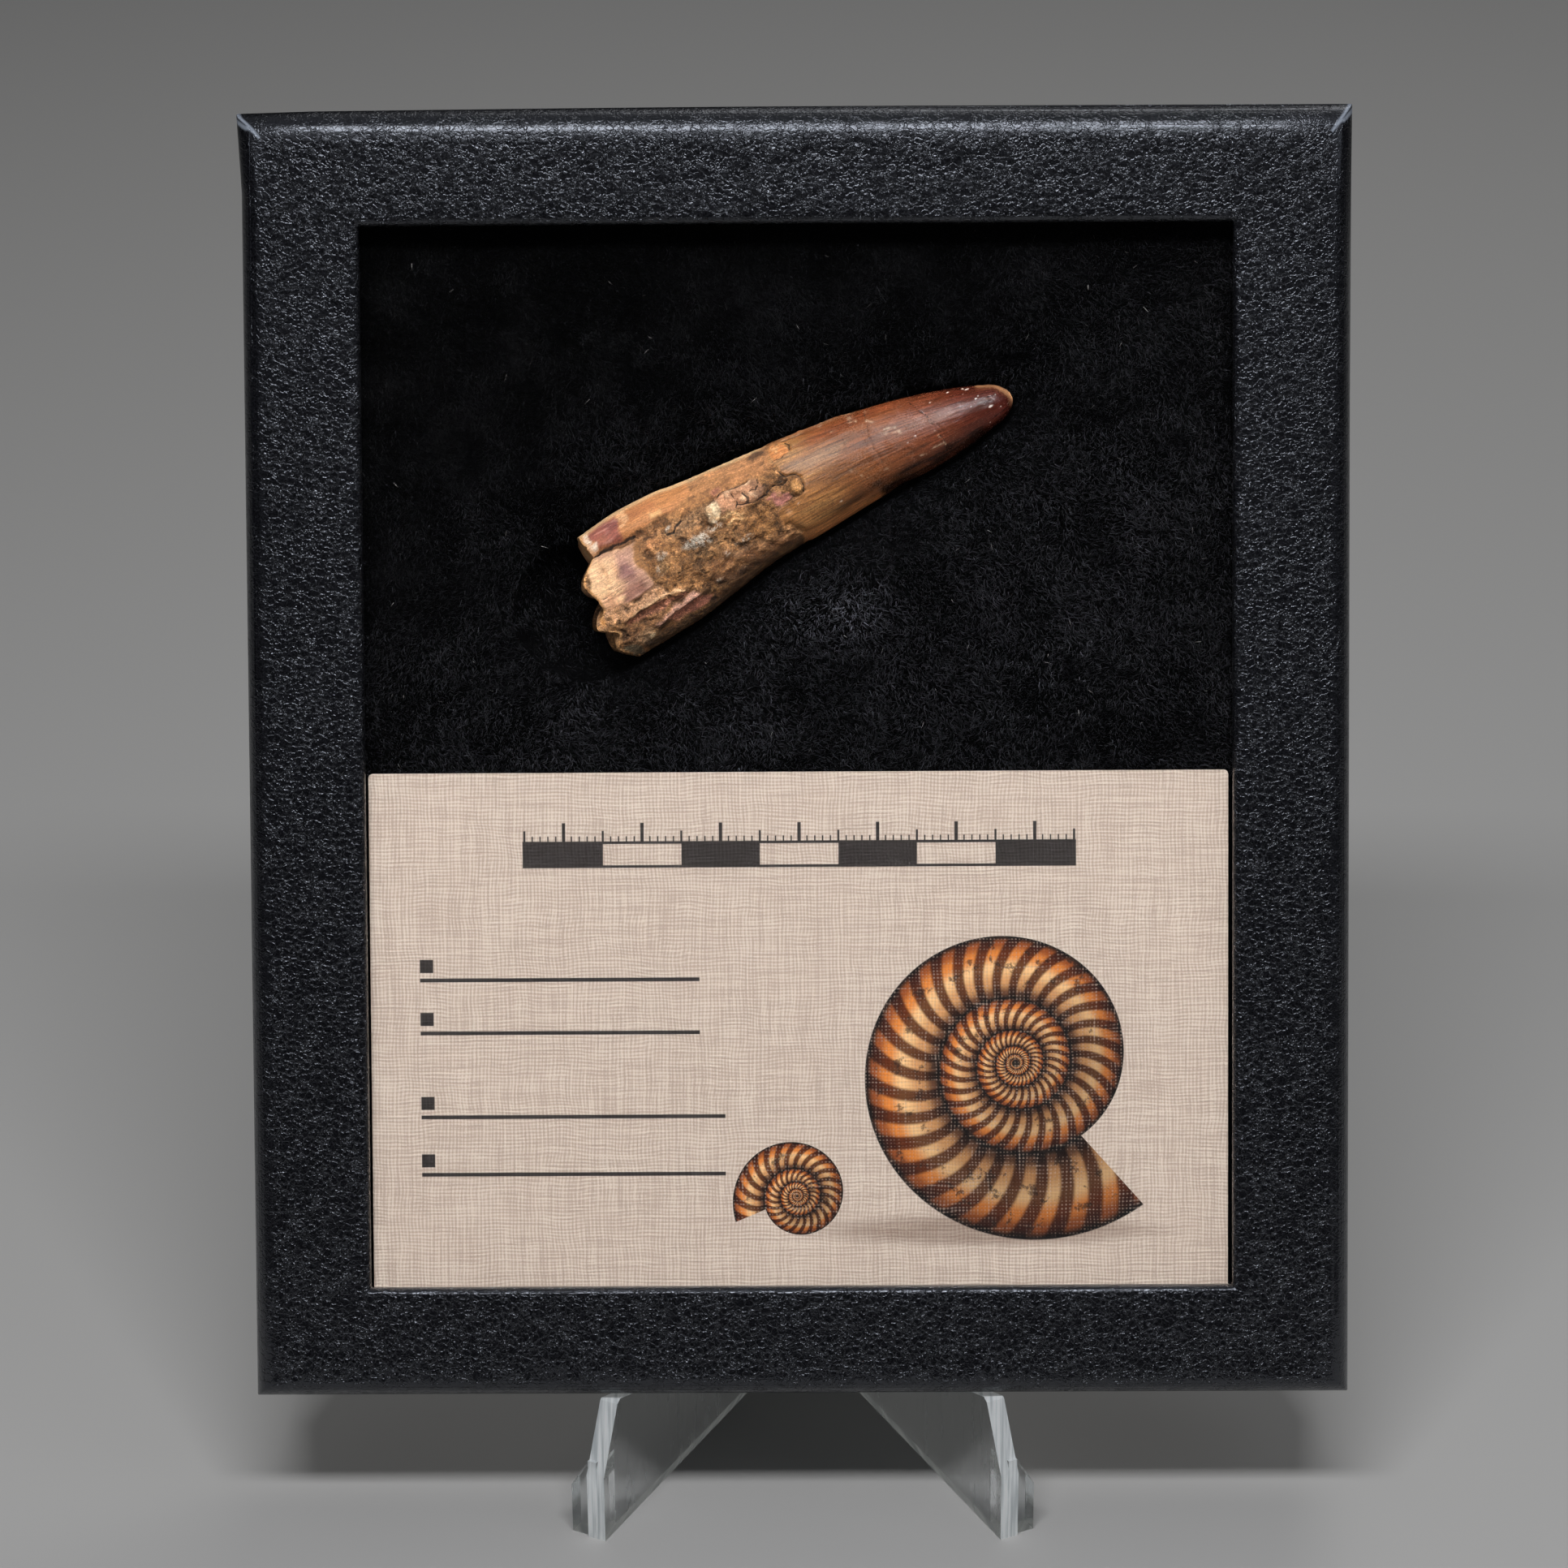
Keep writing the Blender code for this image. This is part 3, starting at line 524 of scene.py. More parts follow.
for centre, size, turn, ribs in (((27.5, 42.5), 12.6, 2.3, 30), ((-0.5, 25.5), 4.4, 0.4, 24)):
    shade, shape = coiled_shell(tree, plane, across, up, centre, size, turn, ribs)
    card = mix(tree, times(tree, shape, print_wear), card, shade)
card = mix(tree, 0.1, card, ramp(tree, tone, (0.0, "#6A6A6A"), (1.0, "#FFFFFF")), "MULTIPLY")
feed(tree, shader, {"Base Color": card, "Normal": raised(tree, weave, 0.00006, 0.7), "Roughness": 0.75,
                    "Specular IOR Level": 0.25})
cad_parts["label_card"].data.materials.clear()
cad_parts["label_card"].data.materials.append(finish)


# The easel. Two sides cut from clear acrylic sheet, with a block glued on at each foot: the faces are
# polished and slightly smeared, and the cut edges are satin with fine streaks across them and a painted glow.

PLATE_TURN = math.radians(26.3)
FOOT_PLACE = Vector((25.45, -38.59, 0.0))
PLATE = 2.5
SAME_PLACE = 0.000001


def clear_acrylic(name, roughness, transmission, dullest, streak_depth, glow):
    """Clear acrylic, from polished to satin; on its cut edges an emission, a painted glow, stands in for
    light carried inside the sheet.
    """
    finish, tree, shader = new_finish(name)
    place = add_node(tree, "ShaderNodeTexCoord").outputs["Object"]
    streaked = add_node(tree, "ShaderNodeMapping", {"Vector": place, "Scale": (1.0, 0.04, 0.04)})
    streaks = noise(tree, streaked, 2600, 3)
    wiped = add_node(tree, "ShaderNodeMapping", {"Vector": place, "Rotation": (0, 0.7, 0),
                                                 "Scale": (1, 1, 0.22)})
    smears = noise(tree, wiped, 420, 5, distortion=0.6)
    feed(tree, shader, {"Roughness": step(tree, smears, 0.47, 0.68, roughness, dullest),
                        "Normal": raised(tree, streaks, streak_depth), "Transmission Weight": transmission,
                        "IOR": 1.49, "Base Color": linear("#F7FAFB")})
    # Painted light: the cut edges get a faint emission, a glow though they are no lamp.
    if glow:
        tint = ramp(tree, streaks, (0.3, "#B9BFC1"), (0.65, "#F0F3F3"))
        feed(tree, shader, {"Base Color": tint, "Emission Color": tint, "Emission Strength": glow})
    return finish


polished = clear_acrylic("clear_acrylic_polished", 0.03, 1.0, 0.3, 0.000002, 0.0)
satin = clear_acrylic("clear_acrylic_cut_edge", 0.3, 0.35, 0.5, 0.00005, 0.14)
for side, hand in (("stand_left", -1), ("stand_right", 1)):
    clear_selection()
    easel = bpy.data.objects.new("easel_" + side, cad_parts[side].data.copy())
    bpy.context.collection.objects.link(easel)
    bpy.context.view_layer.objects.active = easel
    easel.select_set(True)
    bpy.ops.object.mode_set(mode="EDIT")
    bpy.ops.mesh.select_all(action="SELECT")
    bpy.ops.mesh.remove_doubles(threshold=SAME_PLACE)
    bpy.ops.mesh.customdata_custom_splitnormals_clear()
    bpy.ops.mesh.normals_make_consistent(inside=False)
    bpy.ops.object.mode_set(mode="OBJECT")
    bpy.ops.object.shade_smooth_by_angle(angle=math.radians(30))
    easel.data.materials.clear()
    easel.data.materials.append(polished)
    easel.data.materials.append(satin)
    outward = Vector((hand * math.cos(PLATE_TURN), math.sin(PLATE_TURN), 0.0))
    corner = Vector((hand * FOOT_PLACE.x, FOOT_PLACE.y, 0.0)) * MM
    for face in easel.data.polygons:
        beyond = (face.center - corner).dot(outward) / MM
        cut = abs(face.normal.dot(outward)) < 0.5 and 0.1 < beyond < PLATE - 0.1
        face.material_index = 1 if cut or face.normal.z < -0.9 else 0
    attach(easel, "root")
    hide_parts(side)


# The tooth. A fossil spinosaur tooth: a crown of glossy brown enamel with fine lengthwise lines, and a
# broken root of cream dentine, sandy matrix and flaking crust. It lies in its hollow in the plush.

TOOTH_PLACE = (-24.3, 101.9)
TOOTH_ANGLE = math.radians(26.15)
TOOTH_LENGTH, TOOTH_SHOULDER = 57.8, 54.5
TOOTH_ROOT_DEPTH, TOOTH_RISE = 10.15, 0.03
ROOT_FLATNESS, CROWN_FLATNESS = 0.68, 0.92
ROOT_HOLLOW, FRONT_SETBACK = 2.4, 1.1
UPPER_EDGE = [(0.0, 8.55), (5.0, 9.3), (10.0, 9.45), (20.0, 8.95), (30.0, 8.3), (37.5, 7.5),
              (45.0, 6.05), (50.0, 4.75), (55.0, 3.1)]
LOWER_EDGE = [(0.0, -8.4), (5.0, -8.0), (10.0, -7.5), (15.0, -6.5), (20.0, -5.45), (30.0, -4.5),
              (40.0, -3.65), (45.0, -3.5), (50.0, -3.0), (55.0, -2.0)]
BROKEN_END = [(-8.4, 0.0), (-7.3, -1.5), (-6.3, -2.6), (-4.8, -1.8), (-3.0, -3.9), (-1.6, -2.3),
              (0.6, -2.0), (2.1, -2.8), (3.8, -2.2), (5.8, -0.1), (7.2, -0.5), (8.6, 0.0)]


def fade(value):
    """0 below 0, 1 above 1, and a soft turn between."""
    t = np.clip(value, 0.0, 1.0)
    return t * t * (3.0 - 2.0 * t)


def along(points, place):
    """A smooth curve through the points, read at a place, level beyond the ends."""
    xs = np.array([p[0] for p in points])
    ys = np.array([p[1] for p in points])
    slopes = np.gradient(ys, xs)
    x = np.clip(place, xs[0], xs[-1])
    k = np.clip(np.searchsorted(xs, x) - 1, 0, len(xs) - 2)
    span = xs[k + 1] - xs[k]
    t = (x - xs[k]) / span
    value = (1 + 2 * t) * (1 - t) ** 2 * ys[k] + t * (1 - t) ** 2 * span * slopes[k]
    return value + t * t * (3 - 2 * t) * ys[k + 1] + t * t * (t - 1) * span * slopes[k + 1]


def tooth_section(u):
    """Middle, half width and flatness of the tooth at u."""
    low = along(LOWER_EDGE, u)
    high = along(UPPER_EDGE, u)
    t = np.clip((u - TOOTH_SHOULDER) / (TOOTH_LENGTH - TOOTH_SHOULDER), 0.0, 1.0)
    rounding = (1.0 - t ** 1.8) ** 0.6
    flatness = ROOT_FLATNESS + (CROWN_FLATNESS - ROOT_FLATNESS) * fade((u - 5.0) / 45.0)
    return (low + high) / 2 - 0.25 * t, (high - low) / 2 * rounding, flatness


def off_line(u, v, line, closed=False):
    """How far each place is from a line of (u, v) points."""
    nearest = np.full(np.shape(u), 1e9)
    for (u0, v0), (u1, v1) in zip(line, line[1:] + line[:1] if closed else line[1:]):
        length = (u1 - u0) ** 2 + (v1 - v0) ** 2
        t = np.clip(((u - u0) * (u1 - u0) + (v - v0) * (v1 - v0)) / length, 0.0, 1.0)
        nearest = np.minimum(nearest, np.hypot(u - u0 - t * (u1 - u0), v - v0 - t * (v1 - v0)))
    return nearest


def beside(u, v, line, width):
    """1 on a line of points, falling away across it within about its width."""
    return np.exp(-((off_line(u, v, line) / width) ** 2))


def within(u, v, corners, soft=0.2):
    """1 inside an outline of (u, v) corners, 0 outside, and a soft edge."""
    inside = np.zeros(np.shape(u), dtype=bool)
    for (u0, v0), (u1, v1) in zip(corners, corners[1:] + corners[:1]):
        crosses = (v0 > v) != (v1 > v)
        inside ^= crosses & (u < u0 + (v - v0) * (u1 - u0) / ((v1 - v0) or 1e-9))
    depth = off_line(u, v, corners, closed=True)
    return fade(0.5 + np.where(inside, depth, -depth) / (2 * soft))


def blob(u, v, u0, v0, width, height):
    """A rounded patch, 1 over its middle and 0 outside."""
    return fade(1.6 - 1.3 * np.hypot((u - u0) / width, (v - v0) / height))


def lumps(u, v, w):
    """Uneven lumps of a few millimetres, from about -1 to 1."""
    a = np.sin(1.31 * u + 0.9 * np.sin(1.13 * v + 0.4 * w)) * np.cos(1.07 * v + 0.7 * np.sin(0.83 * u))
    b = np.sin(2.3 * u - 1.7 * v + 1.9 * w + 1.2) * np.sin(1.9 * v + 2.2 * w + 0.7 * u)
    return 0.6 * a + 0.4 * b


def grains(points, size, seed=0):
    """Distance to the nearest of scattered seeds, in steps of the size, and that seed's own number."""
    place = points / size + 19.3 * seed
    corner = np.floor(place).astype(np.int64)
    first = np.full(len(points), 9.0)
    number = np.zeros(len(points))
    for neighbour in range(27):
        at = corner + np.array([neighbour % 3 - 1, neighbour // 3 % 3 - 1, neighbour // 9 - 1])
        mixed = (at[:, 0] * 374761393 + at[:, 1] * 668265263 + at[:, 2] * 1274126177) & 0x7FFFFFFF
        mixed = ((mixed ^ (mixed >> 13)) * 1103515245) & 0x7FFFFFFF
        spots = np.stack([(mixed >> shift & 0x3FF) / 1024.0 for shift in (2, 11, 20)], axis=1)
        away = np.linalg.norm(at + spots - place, axis=1)
        number = np.where(away < first, (mixed >> 5 & 0xFFF) / 4096.0, number)
        first = np.minimum(first, away)
    return first, number


ENAMEL_BORDER = [(26.5, 9.0), (27.0, 5.0), (28.8, 3.3), (28.8, 1.3), (25.5, 1.0), (24.4, -1.5), (26.5, -3.5),
                 (26.0, -6.0)]


def main_relief(u, v, w):
    """The tooth's ledges, ridges, crust and cracks, as its solid has them."""
    front = fade(w / 2.0)
    crown = fade((u - 25.5) / 1.5)
    rise = 0.12 * crown - 0.15 * beside(u, v, ENAMEL_BORDER, 0.4) * (1 - 0.5 * crown)
    rise = rise - 0.45 * front * beside(u, v, [(-1.0, 5.9), (4.0, 6.0), (8.0, 5.5), (11.0, 5.0)], 0.5)
    rise = rise + 0.25 * fade((v - 6.2) / 0.4) * fade((14.0 - u) / 3.0)
    ridges = beside(u, v, [(1.0, -3.3), (5.0, -2.9), (9.8, -3.2)], 0.45)
    ridges = ridges + beside(u, v, [(5.0, -5.6), (8.5, -4.8), (11.0, -4.4)], 0.5)
    channels = beside(u, v, [(1.5, -4.4), (8.0, -4.1)], 0.7) + beside(u, v, [(5.0, -6.7), (11.0, -5.6)], 0.7)
    rise = rise + front * (0.45 * ridges - 0.25 * channels)
    crust = 0.75 * blob(u, v, 17.3, 3.9, 2.1, 1.4) + 0.4 * blob(u, v, 21.5, 3.9, 3.6, 1.9)
    crust = crust + 0.35 * blob(u, v, 14.2, 1.7, 2.6, 1.2) + 0.45 * blob(u, v, 28.0, 2.0, 1.2, 1.2)
    rise = rise + front * crust
    rough = (1 - crown) * (0.35 + 0.65 * fade((u - 5.5) / 2.0 + fade((-1.0 - v) / 1.5)))
    middle, half, flatness = tooth_section(u)
    rough = rough * (1.0 - 0.95 * fade((np.abs(v - middle) / half - 0.7) / 0.25))
    return rise + 0.3 * rough * (1 - 0.6 * fade((v - 5.2) / 0.8)) * lumps(u, v, w)


AROUND, STATIONS = 270, 364
FRONT_SHARE, HOLLOW_SHARE = 0.84, 0.06
tooth = start_piece("fossil_tooth", "primitive_uv_sphere_add", segments=AROUND, ring_count=STATIONS, radius=1)
bpy.ops.object.mode_set(mode="OBJECT")
ball = read_points(tooth.data)
station = np.arccos(np.clip(-ball[:, 2], -1, 1)) / math.pi
circle = np.arctan2(ball[:, 1], ball[:, 0]) / (2 * math.pi) % 1.0
turn = math.pi * np.where(circle < FRONT_SHARE, circle / FRONT_SHARE,
                          1 + (circle - FRONT_SHARE) / (1 - FRONT_SHARE))
middle, half, flatness = tooth_section(np.zeros(len(ball)))
edge = middle + half * np.cos(turn)
end = along(BROKEN_END, edge) + FRONT_SETBACK * np.maximum(np.sin(turn), 0.0)
seeds = np.stack([8.4 * np.cos(turn), 8.4 * np.sin(turn), np.zeros(len(turn))], axis=1)
end += 0.35 * rumple(seeds, 2.2, 3, seed=4) + 0.12 * rumple(seeds, 0.6, 2, seed=25)
skin = np.clip((station - HOLLOW_SHARE) / (1 - HOLLOW_SHARE), 0.0, 1.0)
share = 1 - (0.35 * (1 - skin) ** 1.6 + 0.65 * (1 - skin))
inward = fade(1 - station / HOLLOW_SHARE)
u = end + (TOOTH_LENGTH - end) * share
middle, half, flatness = tooth_section(np.maximum(u, 0.0))
v = middle + half * np.cos(turn)
w = half * flatness * np.sin(turn)
plain = np.stack([u, v, w], axis=1)

# how the surface is made up: which parts are enamel, matrix, cream dentine, crust and so on
warp = 0.24 * rumple(plain, 1.3, 3, seed=1)
warp_too = 0.24 * rumple(plain, 1.3, 3, seed=2)
wu, wv = u + warp, v + warp_too
front = fade(w / 1.2)


def inside(corners, soft=0.2):
    """The part of the tooth inside an outline, along its uneven surface."""
    return within(wu, wv, corners, soft)


def patch(corners, soft=0.2):
    """The same, on the side that shows alone."""
    return front * inside(corners, soft)


fine = rumple(plain, 0.45, 2, seed=5)
broad = rumple(plain, 3.4, 3, seed=6)
fibre = rumple(plain * np.array([0.16, 1.0, 1.0]), 0.28, 2, seed=7)
wide_streak = rumple(plain * np.array([0.06, 1.0, 1.0]), 0.75, 3, seed=8)
pits = fade((rumple(plain, 0.8, 2, seed=10) - 0.4) / 0.4)
grain_far, grain_number = grains(plain, 0.42, seed=1)
pebble_far = grains(plain, 0.95, seed=2)[0]

enamel_edge = [(27.1, 9.6), (26.9, 8.2), (26.3, 6.6), (27.1, 5.4), (26.9, 4.5), (27.4, 3.8), (28.7, 3.4),
               (29.0, 2.6), (28.7, 1.2), (27.6, 0.9), (25.2, 0.7), (24.3, 0.2), (24.2, -1.3), (25.3, -2.0),
               (26.3, -3.4), (25.8, -4.6), (27.5, -6.0), (27.5, -9.0), (70.0, -9.0), (70.0, 9.6)]
enamel = inside(enamel_edge, 0.15)
enamel = np.where(w < 0, fade((wu - 26.5) / 0.8), enamel)
strip = inside([(-1.5, 6.25), (3.5, 6.25), (7.0, 6.2), (12.5, 6.4), (15.5, 7.4), (15.5, 12.0),
                (-1.5, 12.0)], 0.15)
cream = patch([(-1.3, 0.4), (-1.4, 1.9), (-1.0, 3.5), (-0.5, 5.0), (0.6, 5.6), (3.0, 5.5), (5.0, 5.0),
               (6.3, 4.9), (6.6, 3.0), (6.4, 1.0), (6.2, -1.0), (5.4, -1.5), (2.0, -1.4), (-0.8, -1.2)],
              0.25)
matrix = (1 - enamel) * (1 - strip) * (1 - cream)
smooth_tan = front * (1 - enamel) * inside([(12.0, 5.9), (16.0, 5.6), (22.0, 5.6), (26.0, 5.6),
                                            (27.0, 6.0), (27.0, 12.0), (13.5, 12.0), (12.5, 7.0)], 0.6)
smooth_brown = front * (1 - enamel) * inside([(13.5, -2.2), (16.0, -1.3), (20.0, -2.4), (23.8, -2.4),
                                              (25.5, -3.4), (25.0, -9.0), (13.0, -9.0)], 0.8)
rough = np.clip(matrix * (1 - 0.5 * smooth_tan) * (1 - 0.45 * smooth_brown), 0, 1)
bent = plain + np.stack([warp, warp_too, warp - warp_too], axis=1)
crumbs = np.abs(rumple(bent, 1.25, 2, seed=18)) + 0.45 * np.abs(rumple(bent, 0.7, 2, seed=19))
creases = fade(1 - crumbs / 0.2)

# the fine relief, in millimetres
RIDGES = [([(0.6, -3.5), (1.6, -3.45), (3.0, -3.1), (5.0, -2.85), (7.0, -2.75), (8.5, -2.9),
            (9.9, -3.35)], 0.3),
          ([(4.4, -5.9), (6.0, -5.35), (8.3, -4.9), (9.9, -4.7), (11.2, -4.8)], 0.26),
          ([(-1.0, 6.25), (3.5, 6.25), (7.0, 6.2), (11.0, 6.1)], 0.38)]
lift = main_relief(u, v, w)
ledge_shade = np.zeros(len(u))
for line, depth in RIDGES:
    drop = np.interp(wu, *zip(*line)) - v - 0.4 * warp_too
    under = front * fade(drop / 0.22) * np.exp(-np.maximum(drop, 0) / 0.9)
    under *= fade((wu - line[0][0]) / 0.5) * fade((line[-1][0] - wu) / 0.8)
    lift -= depth * under
    ledge_shade = np.maximum(ledge_shade, under)
to_rim = fade((np.abs(v - middle) / half - 0.6) / 0.3)
low_flank = front * fade((-3.4 - wv) / 0.8) * fade((wu - 7.0) / 2.0)
loose = rough * (1 - 0.85 * to_rim) * (1 - 0.6 * low_flank) * (1 - 0.8 * smooth_tan)
loose *= 1 - 0.6 * front * blob(wu, wv, 22.8, -0.2, 3.4, 2.2)
lift += loose * (0.24 * (crumbs - 0.45) + 0.10 * (0.5 - pebble_far)) + rough * 0.16 * (0.45 - grain_far)
lift += 0.10 * (smooth_tan + smooth_brown) * rumple(plain, 2.4, 3, seed=9)
lift -= loose * 0.25 * pits
lift += enamel * 0.03 * wide_streak
lift += cream * (0.22 + 0.05 * fibre + 0.05 * broad) + strip * (0.05 * wide_streak + 0.03 * fibre)
CRACKS = [([(20.2, 5.0), (20.3, 3.4), (20.0, 3.0)], 0.10, 0.25),
          ([(21.4, 4.3), (21.8, 3.6), (21.5, 3.1)], 0.12, 0.3),
          ([(20.2, 3.3), (21.2, 3.0), (22.4, 2.75), (23.5, 2.8), (24.5, 3.1)], 0.08, 0.25),
          ([(18.2, 5.3), (19.4, 5.6), (21.0, 5.3), (22.6, 5.45)], 0.07, 0.2),
          ([(22.3, 4.1), (23.0, 4.0), (23.7, 4.4), (23.9, 5.1)], 0.08, 0.2),
          ([(24.2, 3.2), (25.5, 3.5), (26.6, 3.1), (27.3, 3.3)], 0.09, 0.22),
          ([(26.6, 5.0), (26.9, 4.4), (27.3, 3.9), (28.6, 3.5), (28.95, 2.9), (28.85, 2.0),
            (28.4, 1.3)], 0.09, 0.3),
          ([(29.1, 7.7), (29.45, 7.3), (29.2, 6.7)], 0.09, 0.2),
          ([(26.6, 6.2), (28.0, 6.15), (28.9, 6.4)], 0.05, 0.12),
          ([(39.9, 6.6), (39.4, 4.9), (38.95, 3.6), (38.85, 2.0), (39.15, 0.6), (39.0, -0.8)], 0.055, 0.09),
          ([(45.5, 5.3), (46.1, 3.9), (46.6, 2.7), (47.1, 1.3), (47.3, -0.1), (47.4, -1.4),
            (48.0, -3.0)], 0.055, 0.09),
          ([(46.4, 3.6), (46.9, 2.5), (47.6, 1.1), (47.9, -0.2)], 0.045, 0.06),
          ([(-0.4, 6.05), (2.0, 6.1), (4.2, 6.15), (6.8, 6.0)], 0.11, 0.25),
          ([(6.3, 4.8), (6.6, 4.0), (6.1, 3.0), (6.5, 1.6)], 0.05, 0.1),
          ([(10.6, 4.1), (11.4, 3.9), (12.4, 4.6), (12.8, 4.9)], 0.16, 0.25),
          ([(0.2, 1.1), (1.6, 0.7), (3.4, 0.8), (5.0, 0.4)], 0.04, 0.05),
          ([(-0.8, 0.2), (0.9, 0.1), (2.2, 0.3)], 0.05, 0.08)]
off_crack = np.full(len(u), 9.0)
jitter_u, jitter_v = u + 0.35 * warp + 0.1 * fine, v + 0.35 * warp_too - 0.1 * fine
for line, width, depth in CRACKS:
    away = off_line(jitter_u, jitter_v, line) / width
    lift -= depth * front * np.exp(-(away * 0.7) ** 2)
    off_crack = np.minimum(off_crack, away + 9 * (1 - front))
frayed_u, frayed_v = wu + 0.2 * fine, wv + 0.2 * fibre
chunk = front * within(frayed_u, frayed_v, [(15.9, 3.2), (16.3, 4.2), (17.2, 4.7), (18.1, 4.5),
                                            (18.0, 3.4), (17.3, 2.7), (16.3, 2.6)], 0.15)
folds = front * np.maximum(beside(wu, wv, [(17.2, 2.9), (18.2, 2.5), (19.4, 2.6), (20.2, 1.9)], 0.25),
                           beside(wu, wv, [(18.1, 1.6), (19.2, 1.9), (20.0, 1.5)], 0.18))
crust = patch([(17.9, 5.2), (20.0, 5.4), (24.0, 5.2), (24.2, 4.0), (23.6, 2.9), (21.0, 2.8), (18.2, 3.0)],
              0.2)
flake = front * within(frayed_u, frayed_v, [(26.7, 7.7), (27.2, 8.0), (28.9, 7.6), (29.2, 7.1),
                                            (28.9, 6.4), (28.0, 6.15), (26.9, 6.1), (26.6, 6.9)], 0.1)
knob = front * fade((0.85 - np.hypot(jitter_u - 27.9, 0.85 * (jitter_v - 2.05))) / 0.35)
pink = front * within(frayed_u, frayed_v, [(24.6, 1.0), (25.3, 0.8), (26.8, 1.1), (27.0, 1.8), (26.0, 2.2),
                                           (25.2, 2.7), (23.6, 2.5), (24.4, 1.9)], 0.15)
chalk = front * np.clip(blob(wu, wv, 13.6, 1.5, 2.2, 0.85) + blob(wu, wv, 16.6, 2.2, 1.0, 0.7)
                        + 0.7 * blob(wu, wv, 19.0, -0.9, 1.4, 0.5) + 0.8 * blob(wu, wv, 11.0, 4.7, 0.35, 0.5)
                        + 0.6 * blob(wu, wv, 8.6, 1.9, 0.8, 0.7) + 0.6 * blob(wu, wv, 7.7, 0.3, 0.5, 0.9)
                        + 0.5 * blob(wu, wv, 16.2, -1.6, 0.7, 0.4) + 0.5 * blob(wu, wv, 13.9, -4.3, 0.5, 0.3),
                        0, 1)
lift += 0.16 * chalk * (0.6 + grain_number) + 0.25 * (chunk + folds) + 0.10 * (crust + pink)
lift += 0.13 * flake + 0.24 * knob
lift += crust * 0.2 * rumple(plain, 0.8, 2, seed=12) + (chunk + folds) * 0.12 * fine
ragged = np.exp(-((turn - 0.12) / 0.2) ** 2) + np.exp(-((turn - 2 * math.pi - 0.12) / 0.2) ** 2)
ragged *= fade((u - 30) / 2) * fade((39 - u) / 3)
lift += 0.22 * ragged * np.maximum(rumple(plain, 0.7, 2, seed=13), 0)
lift -= 0.35 * np.exp(-((u - 40.3) / 1.2) ** 2) * np.exp(-((turn - 3.0) / 0.35) ** 2)
lift *= fade(half / 2.5) * (1 - inward)
v = middle + (half + lift) * np.cos(turn) * (1 - inward) - inward * middle * 0.5
w = (half * flatness + lift) * np.sin(turn) * (1 - inward)
u = u + ROOT_HOLLOW * inward ** 2 + inward * (1 - inward) * 1.2 * rumple(seeds, 2.0, 2, seed=14)
across_box = TOOTH_PLACE[0] + u * math.cos(TOOTH_ANGLE) - v * math.sin(TOOTH_ANGLE)
up_box = TOOTH_PLACE[1] + u * math.sin(TOOTH_ANGLE) + v * math.cos(TOOTH_ANGLE)
write_points(tooth.data, np.stack([across_box, TOOTH_ROOT_DEPTH - TOOTH_RISE * u - w, up_box], axis=1))
tooth.data.transform(box_place)
bpy.ops.object.mode_set(mode="EDIT")
bpy.ops.mesh.select_all(action="SELECT")
bpy.ops.mesh.normals_make_consistent(inside=False)
bpy.ops.object.mode_set(mode="OBJECT")
bpy.ops.object.shade_smooth()

# the colours, laid over one another from the matrix to the last chips
tint = np.tile(np.array(linear("#8F6238")[:3]), (len(u), 1))


def lay(code, share, keep=1.0):
    """Lays a colour over the tooth by a share at each point."""
    part = np.clip(share * keep, 0, 1)[:, None]
    tint[:] = tint * (1 - part) + np.array(linear(code)[:3]) * part


def area(u0, v0, width, height):
    """A soft uneven patch."""
    return front * fade(1.25 - np.hypot((wu - u0) / width, (wv - v0) / height) + 0.35 * broad)


lay("#5F3F20", fade(0.5 + 1.1 * broad), 0.75)
lay("#B07E4E", fade(0.9 * rumple(plain, 1.9, 2, seed=15) - 0.1), 0.7)
lay("#967250", area(13.5, 4.0, 4.0, 1.5), 0.85)
lay("#80603E", area(15.5, 0.2, 4.0, 2.0), 0.6)
lay("#946434", area(22.0, -0.5, 2.6, 2.2), 0.7)
lay("#C08455", area(8.2, 3.6, 2.0, 1.2), 0.7)
lay("#B08A5C", area(8.5, 0.5, 1.3, 1.6), 0.6)
lay("#D6A278", patch([(-2.5, -1.2), (6.5, -1.2), (7.5, -2.9), (1.0, -3.3), (-3.6, -3.2)], 0.3), 0.85)
lay("#906440", patch([(-1.5, -4.2), (6.0, -4.4), (5.5, -5.6), (1.5, -6.4), (-2.5, -5.4)], 0.3), 0.7)
lay("#C09870", front * blob(wu, wv, 2.4, -6.4, 1.6, 0.8), 0.6)
lay("#C08450", smooth_tan, 0.85)
lay("#A06A42", smooth_tan * fade((wu - 19.0) / 3.0), 0.5)
lay("#6E4C2C", smooth_tan * fade(1.5 * broad), 0.5)
lay("#5E4026", smooth_tan * fade(2.0 * rumple(plain, 1.1, 3, seed=20) - 0.2), 0.6)
lay("#C68A5A", smooth_tan * fade(1.6 * wide_streak - 0.45), 0.5)
lay("#A86A56", front * blob(wu, wv, 18.7, 5.9, 0.9, 0.6), 0.7)
lay("#7A4E2A", smooth_brown, 0.9)
lay("#452A13", smooth_brown * fade((-2.8 - wv) / 2.0), 0.8)
lay("#B08358", smooth_brown * fade(1.8 * wide_streak - 0.6), 0.6)
lay("#A67C55", smooth_brown * beside(wu, wv, [(16.4, -2.0), (19.0, -1.9), (22.0, -2.4)], 0.35), 0.7)
lay("#4E361E", patch([(2.0, -7.0), (15.0, -6.2), (15.0, -9.0), (2.0, -9.0)], 0.3), 0.75)
# Painted light and shade: the raised crumbs of the loose matrix are laid lighter and its pits and creases
# darker.
lay("#C08A58", loose * fade((crumbs - 0.5) / 0.35), 0.6)
lay("#3F2A16", loose * np.maximum(pits, 0.7 * creases), 0.7)
lay("#57381C", low_flank * rough, 0.6)
